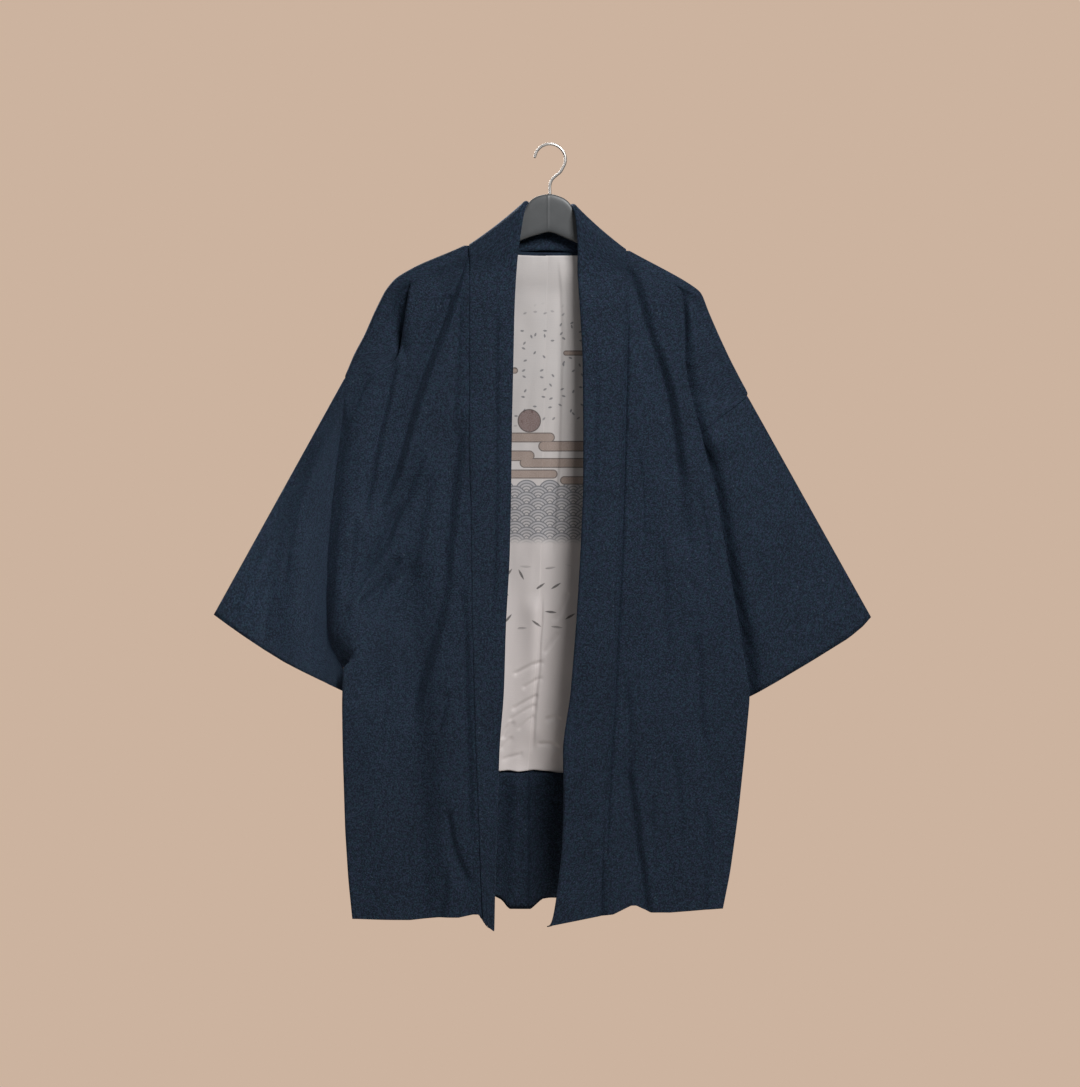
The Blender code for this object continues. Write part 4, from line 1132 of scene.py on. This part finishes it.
# one soft-edged level bar with round ends, or a disc where its half length is nothing
bar, bar_in, bar_out = group(
    "round_bar",
    ("Mask",),
    vectors=("Vector", "Centre"),
    values=(("Half", 0.02), ("Radius", 0.004), ("Soft", 0.0006)),
)
parts = node(bar, "ShaderNodeSeparateXYZ", difference(bar, bar_in["Vector"], bar_in["Centre"]))
past = maths(bar, "SUBTRACT", maths(bar, "ABSOLUTE", parts.outputs[0]), bar_in["Half"])
far = apart(bar, maths(bar, "MAXIMUM", past, 0.0), parts.outputs[1])
inside = maths(bar, "DIVIDE", maths(bar, "SUBTRACT", bar_in["Radius"], far), bar_in["Soft"])
link(bar, node(bar, "ShaderNodeClamp", inside).outputs[0], bar_out["Mask"])

# one slim leaf or petal in each cell of a scattered lattice, each turned its own way
leaves, leaf_in, leaf_out = group(
    "scattered_leaves",
    ("Mask",),
    values=(("Scale", 90.0), ("Length", 0.3), ("Width", 0.1), ("Share", 0.5), ("Swing", 1.2)),
)
spots = node(leaves, "ShaderNodeTexVoronoi", leaf_in["Vector"], voronoi_dimensions="2D")
link(leaves, leaf_in["Scale"], spots.inputs["Scale"])
scaled = scaled_by(leaves, leaf_in["Vector"], leaf_in["Scale"])
centred = scaled_by(leaves, spots.outputs["Position"], leaf_in["Scale"])
chance = node(leaves, "ShaderNodeSeparateColor", spots.outputs["Color"])
swing = maths(leaves, "MULTIPLY", between(leaves, chance.outputs[1], -1.0, 1.0), leaf_in["Swing"])
offset = difference(leaves, scaled, centred)
swung = node(leaves, "ShaderNodeVectorRotate", offset, rotation_type="Z_AXIS")
link(leaves, swing, swung.inputs["Angle"])
parts = node(leaves, "ShaderNodeSeparateXYZ", swung.outputs[0])
along_leaf = maths(leaves, "DIVIDE", parts.outputs[0], leaf_in["Length"])
across_leaf = maths(leaves, "DIVIDE", parts.outputs[1], leaf_in["Width"])
# a leaf comes to a point at both ends: its width falls off with the square of the run
width_here = maths(leaves, "SUBTRACT", 1.0, maths(leaves, "MULTIPLY", along_leaf, along_leaf))
edge = maths(leaves, "SUBTRACT", width_here, maths(leaves, "ABSOLUTE", across_leaf))
crisp = node(leaves, "ShaderNodeClamp", maths(leaves, "MULTIPLY", edge, 4.0)).outputs[0]
grown = maths(leaves, "LESS_THAN", chance.outputs[0], leaf_in["Share"])
link(leaves, maths(leaves, "MULTIPLY", crisp, grown), leaf_out["Mask"])

# rows of overlapping scale waves, each scale drawn with rings, the lower rows lying over the upper
WAVE_ROW = 0.25          # rows stand a quarter of a scale's width apart
WAVE_RINGS = 8.0
RING_GAP = 0.58          # the share of each ring that is left pale

waves, wave_in, wave_out = group(
    "scale_waves", ("Line", "Tone", "Mask"), values=(("Scale", 34.0), ("Top", 0.0))
)
parts = node(waves, "ShaderNodeSeparateXYZ", scaled_by(waves, wave_in["Vector"], wave_in["Scale"]))
across, up = parts.outputs[0], parts.outputs[1]
row = maths(waves, "FLOOR", maths(waves, "DIVIDE", up, WAVE_ROW))
radius_here, covered = None, None
for rise in (1.0, 0.0, -1.0, -2.0):
    this_row = maths(waves, "ADD", row, rise)
    odd = maths(waves, "MODULO", maths(waves, "ABSOLUTE", this_row), 2.0)
    along_row = maths(waves, "FRACT", maths(waves, "MULTIPLY_ADD", odd, 0.5, across))
    along_row = maths(waves, "SUBTRACT", along_row, 0.5)
    up_row = maths(waves, "SUBTRACT", up, maths(waves, "MULTIPLY", this_row, WAVE_ROW))
    reach_row = apart(waves, along_row, up_row)
    shown_row = maths(waves, "LESS_THAN", this_row, wave_in["Top"])
    inside_row = maths(waves, "MULTIPLY", maths(waves, "LESS_THAN", reach_row, 0.5), shown_row)
    if covered is None:
        covered, radius_here = inside_row, reach_row
        continue
    covered = maths(waves, "MAXIMUM", covered, inside_row)
    nearer = node(waves, "ShaderNodeMix", inside_row, data_type="FLOAT")
    link(waves, radius_here, nearer.inputs[2])
    link(waves, reach_row, nearer.inputs[3])
    radius_here = nearer.outputs[0]
rings = maths(waves, "FRACT", maths(waves, "MULTIPLY", radius_here, WAVE_RINGS))
link(waves, maths(waves, "GREATER_THAN", rings, RING_GAP), wave_out["Line"])
link(waves, radius_here, wave_out["Tone"])
link(waves, covered, wave_out["Mask"])

# the silk itself: fine weave, slubs across it, slow changes of tone
SLUBS = (40.0, 900.0, 1.0)

plain_silk, silk_in, silk_out = group("plain_silk", ("Tone", "Fade", "Height"))
slubs_at = node(plain_silk, "ShaderNodeMapping", silk_in[0], Scale=SLUBS)
slubs = flat_noise(plain_silk, slubs_at.outputs[0], 1.0, 2.0)
clouds = flat_noise(plain_silk, silk_in[0], 22.0, 4.0)
grain = flat_noise(plain_silk, silk_in[0], 700.0, 2.0)
clouded = maths(plain_silk, "MULTIPLY", clouds, 0.6)
link(plain_silk, maths(plain_silk, "MULTIPLY_ADD", slubs, 0.5, clouded), silk_out["Tone"])
link(plain_silk, between(plain_silk, grain, 0.7, 1.2), silk_out["Fade"])
link(plain_silk, maths(plain_silk, "ADD", slubs, grain), silk_out["Height"])

# the lining's material carries the dyed design and painted light, paler toward the hem
silk, tree, shader = finish(
    "dyed_silk_painted_light", IOR=1.45, Specular_IOR_Level=0.35, Sheen_Weight=0.08, Sheen_Roughness=0.4
)
place = node(tree, "ShaderNodeTexCoord").outputs["Object"]
upright = node(tree, "ShaderNodeSeparateXYZ", place)
board = node(tree, "ShaderNodeCombineXYZ", upright.outputs[0])
link(tree, upright.outputs[2], board.inputs[1])
weave = use(tree, plain_silk, node(tree, "ShaderNodeUVMap", uv_map="cut").outputs[0])

Bar = namedtuple("Bar", "x z half radius")
MIST = (
    Bar(-34, -366, 34, 6.5), Bar(26, -377, 34, 7.0), Bar(-52, -389, 26, 7.0), Bar(6, -398, 38, 6.5),
    Bar(-30, -412, 34, 6.0), Bar(40, -420, 22, 5.6), Bar(-62, -282, 18, 4.2), Bar(36, -260, 16, 3.6),
)
BAR_SOFT = 0.8
OUTLINE = 1.1
DISC = Bar(-26, -345, 0, 15)
SEA_TOP, SEA_LOW, SEA_FADE = -430, -488, 14


def bars(rows, inset=0.0):
    """The union of some bars' masks, each drawn in by an inset."""
    total = None
    for item in rows:
        sizes = {"Half": item.half * MM, "Radius": (item.radius - inset) * MM, "Soft": BAR_SOFT * MM}
        centre = (item.x * MM, item.z * MM, 0.0)
        one = use(tree, bar, board.outputs[0], Centre=centre, **sizes).outputs[0]
        total = one if total is None else maths(tree, "MAXIMUM", total, one)
    return total


def climb(start, stop, **settings):
    """0 at one height in mm and 1 at another."""
    made = node(tree, "ShaderNodeMapRange", upright.outputs[2], **settings)
    made.inputs["From Min"].default_value = start * MM
    made.inputs["From Max"].default_value = stop * MM
    return made.outputs[0]


def height_band(low, high, soft):
    """1 between two heights in mm, fading over a soft margin."""
    up = climb(low - soft, low, interpolation_type="SMOOTHSTEP")
    down = climb(high + soft, high, interpolation_type="SMOOTHSTEP")
    return maths(tree, "MULTIPLY", up, down)


def leaf_mask(band, **values):
    """Scattered leaves within a band of heights."""
    scattered = use(tree, leaves, board.outputs[0], **values)
    return maths(tree, "MULTIPLY", scattered.outputs[0], band)


def less(mask, cover):
    """A mask without what another covers."""
    return maths(tree, "MULTIPLY", mask, maths(tree, "SUBTRACT", 1.0, cover))


def dyed(colour, mask, strength, ink):
    """A colour with an ink over it where the mask is, as strong as the weave has taken it."""
    taken = maths(tree, "MULTIPLY", weave.outputs["Fade"], strength)
    return mixed(tree, maths(tree, "MULTIPLY", mask, taken), colour, ink)


colour = mixed(tree, weave.outputs["Tone"], SILK_COOL, SILK)
# painted light: toward the hem the silk's colour is painted paler, standing in for light the inside lacks
colour = mixed(tree, climb(PAINTED_LIGHT_TOP, PAINTED_LIGHT_LOW), colour, SILK_PAINTED_LIGHT)
petals = leaf_mask(height_band(-335, -222, 30), Scale=84.0, Length=0.24, Width=0.12, Swing=1.5)
colour = dyed(colour, petals, 0.75, GREY_INK)
mist, disc = bars(MIST), bars((DISC,))
disc_rim = maths(tree, "SUBTRACT", disc, bars((DISC,), OUTLINE))
mist_rim = maths(tree, "SUBTRACT", mist, bars(MIST, OUTLINE))
colour = dyed(colour, less(disc, mist), 0.8, RED_INK)
colour = dyed(colour, mist, 0.7, BROWN_INK)
rims = maths(tree, "MAXIMUM", less(disc_rim, mist), mist_rim)
colour = dyed(colour, rims, 0.8, LEAF_INK)
top_row = SEA_TOP * MM * SEA_SCALE / WAVE_ROW
scales = use(tree, waves, board.outputs[0], Scale=SEA_SCALE, Top=top_row)
sea = maths(tree, "MULTIPLY", scales.outputs["Mask"], height_band(SEA_LOW, 0, SEA_FADE))
sea = less(sea, mist)
depth = maths(tree, "MULTIPLY", sea, between(tree, scales.outputs["Tone"], 0.12, 0.82))
colour = mixed(tree, depth, colour, BLUE_INK)
lines = maths(tree, "MULTIPLY", sea, scales.outputs["Line"])
colour = dyed(colour, lines, 0.7, GREY_INK)
slim_leaves = leaf_mask(height_band(-600, -536, 12), Scale=52.0, Length=0.42, Width=0.085, Swing=1.1)
colour = dyed(colour, slim_leaves, 0.85, LEAF_INK)
link(tree, colour, shader.inputs["Base Color"])
link(tree, between(tree, weave.outputs["Tone"], 0.42, 0.54), shader.inputs["Roughness"])
bumped(tree, shader, weave.outputs["Height"], 0.25, 0.0003)

LINING_WALL = 0.8
RELIEF_IN, RELIEF_OUT = -4.5, 2.0   # how far the silk's folds may go either way
TOP_FADE = 12.0          # the silk's folds fade in over this height below its top
LOW_FADE, LOW_KEPT = 20.0, 8.0      # they fade out over the first, and end the second below its hem
WAVE_HEIGHT = 60.0       # the hem's waves die away over this height
HEM_WAVE = ((-70, 0), (-52, 2), (-40, 0), (-20, 2.5), (0, 0.5), (14, -2.5), (24, -1), (60, 0))
for side in (right, left):
    top_z = LINING_TOP[side.name]
    x, y, level = inside_grid(side, top_z, LINING_HEM_Z, step=2.0, columns=84)
    relief = folded(x, level, LINING_FOLDS) + uneven(x, level, 3.3, size=26.0, height=0.5)
    relief = np.clip(relief, RELIEF_IN, RELIEF_OUT)
    top_fade = eased((top_z - level) / TOP_FADE)
    y = y + relief * top_fade * eased((level - LINING_HEM_Z + LOW_KEPT) / LOW_FADE)
    wave = np.interp(x, *np.array(HEM_WAVE, float).T)
    height = side.height(x, level, True)
    height = height + wave * eased((LINING_HEM_Z + WAVE_HEIGHT - level) / WAVE_HEIGHT)
    grid = np.stack([x, y, height], axis=-1)
    obj = cloth("lining_fine_" + side.name, grid, LINING_WALL, silk)
    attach(obj, "root")
    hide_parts("lining_" + side.name)

# =================================================================================================
# The collar: one long band of the crepe, doubled, sewn to the fronts and round the neck and folded
# back over its seam, so that two thick leaves lie over the front from the neck to the hem.

COLLAR_LEAF = 1.2
COLLAR_SEAM = 0.9
COLLAR_LAP = 4.5
COLLAR_LIFT = 1.38
COLLAR_SLOPE = 0.12       # the free edge stands out further where the fold hangs back
COLLAR_TURN = 2.5
NECK_BELLY = -1.7        # how far the outer leaf swells between its fold and its free edge
FRONT_BELLY = 0.9
BELLY_TOP_Z = -130.0     # the neck's swelling turns into the front's over a run below this level
BELLY_RUN = 90.0
BELLY_CURVE = 0.8        # how round the swelling is: below 1 is fuller at its edges
FRONT_STEP = 5.0         # between the rows down the fronts, and round the neck
NECK_STEP = 4.0
SMOOTH_ROWS, SMOOTH_SOFT = 6, 2.0   # neighbours on each side that a row is averaged with
CREASE_FADE = 5.0        # columns over which creases fade at the outer leaf's edges
FRONT_TOP_Z = -160.0     # below this the outer leaf lies straight forward
FOLDS_TOP_Z = -170.0     # and below this the leaves are creased

# Where the collar is folded along the front opening, and how far behind its seam the fold hangs
Opening = namedtuple("Opening", "z right left right_in left_in")
OPENING = (
    Opening(-165, -43, 35, 0, 0),
    Opening(-205, -45, 38, 0, 0),
    Opening(-258, -46, 41, 0, 0),
    Opening(-345, -48, 42, 0, 0),
    Opening(-432, -49, 42, 0, 0),
    Opening(-520, -51, 38, 2, 0),
    Opening(-600, -56, 33, 6, 0),
    Opening(-690, -59, 26, 10, 1),
    Opening(-750, -65, 16, 13, 1),
    Opening(-820, -68, 18, 15, 1),
    Opening(-882, -71, 15, 16, 1),
    Opening(-945, -73, 5, 16, 0),
    Opening(-976, -73.5, -4, 14, 0),
)
Neck = namedtuple("Neck", "seam_out seam_y seam_z fold_out fold_y fold_z free_out free_y free_z")
NECK_RIGHT = (
    Neck(95, -11, -148, 37, -18, -118, 100.5, -12.7, -146),
    Neck(94, -9, -130.5, 31, -16.5, -82, 101.5, -11.6, -127.8),
    Neck(91, 1, -125.6, 27, 0, -71.5, 100.5, 1, -123.2),
    Neck(84, 10.4, -127.2, 24, 15, -74, 96, 16, -129),
    Neck(46, 10.6, -132.5, 14, 18, -78, 53, 17, -141),
)
NECK_LEFT = (
    Neck(89, -11, -152, 34, -18, -120, 94.5, -12.7, -150),
    Neck(88, -9, -135.4, 30, -16.5, -84, 95.5, -11.6, -133.8),
    Neck(85, 1, -131, 26, 0, -75.5, 94.5, 1, -128.9),
    Neck(79, 10.4, -132.5, 23, 15, -76.5, 91, 16, -136),
    Neck(44, 10.6, -134, 13, 18, -79, 51, 17, -142),
)
NECK_BACK = Neck(0, 10.6, -131.0, 0, 18.5, -79, 0, 17.5, -143)
INNER_STEPS, FOLD_STEPS, OUTER_STEPS = 12, 9, 26
COLLAR_FOLDS = (
    Fold(9, 2.4, 6, ((-63, -190), (-65, -240), (-65, -300), (-65, -420), (-67, -520), (-71, -600))),
    Fold(11, 1.8, 8, ((60, -260), (60, -330), (58, -400), (55, -470), (49, -540))),
    Fold(7, 1.5, 0, ((10, -856), (37, -848), (62, -842))),
    Fold(4, 1.3, 2, ((6, -905), (31, -900), (62, -893))),
    Fold(6, 1.6, 4, ((24, -816), (32, -799), (39, -780))),
    Fold(6, 1.6, 4, ((42, -962), (50, -936), (56, -914))),
    Fold(6, 1.0, 3, ((20, -740), (42, -726), (64, -716))),
    Fold(9, 1.2, 5, ((40, -600), (36, -680), (28, -760))),
)


def front_keys(side, column):
    """Seam, fold and free edge down one front, from the top to the hem, as three runs of points."""
    z = np.arange(OPENING[0].z, OPENING[-1].z - LEVEL_NEAR, -FRONT_STEP)
    fold_x = table(OPENING, column, z, soft=10.0)
    inward = table(OPENING, column + "_in", z, soft=12.0)
    seam = side.at("seam", z)
    level = np.maximum(z, HEM_Z)
    depth = side.at("front", level)
    seam_x, free_x = seam - side.out * COLLAR_SEAM, seam + side.out * COLLAR_LAP
    at_seam = depth - side.slack(seam_x, level, False)
    at_free = np.maximum(depth - side.slack(free_x, level, False), at_seam)
    at_free = at_free + COLLAR_LIFT + COLLAR_SLOPE * inward
    keys = []
    for x, y in ((seam_x, at_seam), (fold_x, at_seam - inward), (free_x, at_free)):
        keys.append(np.stack([x, -y, side.height(x, level, False)], axis=-1))
    return np.stack(keys, axis=1)


def neck_keys(out, rows):
    """Seam, fold and free edge round the neck."""
    return [np.reshape(row, (3, 3)) * (out, 1, 1) for row in rows]


def smoothed(rows, **padding):
    """Rows of points along the band, each averaged with its neighbours."""
    reach = np.arange(-SMOOTH_ROWS, SMOOTH_ROWS + 1)
    weights = np.exp(-0.5 * (reach / SMOOTH_SOFT) ** 2)
    weights /= weights.sum()
    ends = ((SMOOTH_ROWS, SMOOTH_ROWS),) + ((0, 0),) * (rows.ndim - 1)
    padded = np.pad(rows, ends, **padding)
    count = len(rows)
    return sum(weight * padded[first:first + count] for first, weight in enumerate(weights))


right_keys = front_keys(right, "right")
left_keys = front_keys(left, "left")
neck = neck_keys(-1, NECK_RIGHT) + neck_keys(1, (NECK_BACK,)) + neck_keys(1, NECK_LEFT)[::-1]
# two rows of each front steer the ends of the run round the neck
neck = np.array([right_keys[4], right_keys[0], *neck, left_keys[0], left_keys[4]], float)
steps = np.linalg.norm(np.diff(neck, axis=0), axis=-1).max(axis=1)
lengths = np.concatenate([[0], np.cumsum(steps)])
along = np.arange(lengths[1], lengths[-2], NECK_STEP)[1:]
round_neck = spline(lengths, neck.reshape(len(neck), 9), along).reshape(-1, 3, 3)
keys = np.concatenate([right_keys[::-1], round_neck, left_keys])
keys = smoothed(keys, mode="reflect", reflect_type="odd")

# the side on which the outer leaf lies: forward down the fronts, and round with the neck
outward = keys[:, 2] - keys[:, 0]
outward[keys[:, 0, 2] < FRONT_TOP_Z] = (0.0, -1.0, 0.0)
outward /= np.linalg.norm(outward, axis=1)[:, None]
outward = smoothed(outward, mode="edge")

rows = []
for (seam, fold, free), lift in zip(keys, outward):
    ahead = fold - seam
    ahead /= np.linalg.norm(ahead)
    lift = lift - ahead * ahead.dot(lift)
    lift /= np.linalg.norm(lift)
    half = COLLAR_TURN
    start, stop = fold - ahead * half, fold - ahead * half + lift * 2 * half
    inner = [seam + (start - seam) * share for share in np.linspace(0, 1, INNER_STEPS)]
    turns = np.linspace(-math.pi / 2, math.pi / 2, FOLD_STEPS + 2)[1:-1]
    over = [start + lift * half + (ahead * math.cos(t) + lift * math.sin(t)) * half for t in turns]
    down = float(eased((BELLY_TOP_Z - free[2]) / BELLY_RUN))
    belly = NECK_BELLY + (FRONT_BELLY - NECK_BELLY) * down
    outer = []
    for share in np.linspace(0, 1, OUTER_STEPS):
        swell = belly * math.sin(math.pi * share) ** BELLY_CURVE
        outer.append(stop + (free - stop) * share + lift * swell)
    rows.append(inner + over + outer)
grid = np.array(rows)
x, height = grid[..., 0], grid[..., 2]
shift = folded(x, height, COLLAR_FOLDS) + uneven(x, height, 2.9, size=40.0, height=0.8)
column = np.arange(grid.shape[1])
from_edge = np.minimum(column - INNER_STEPS - FOLD_STEPS, column[::-1])
grid[..., 1] += np.where(height < FOLDS_TOP_Z, shift, 0.0) * eased(from_edge / CREASE_FADE)
collar_crepe = crepe("collar_crepe")
collar = cloth("collar_fine", grid, COLLAR_LEAF, collar_crepe)
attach(collar, "root")
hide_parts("collar")
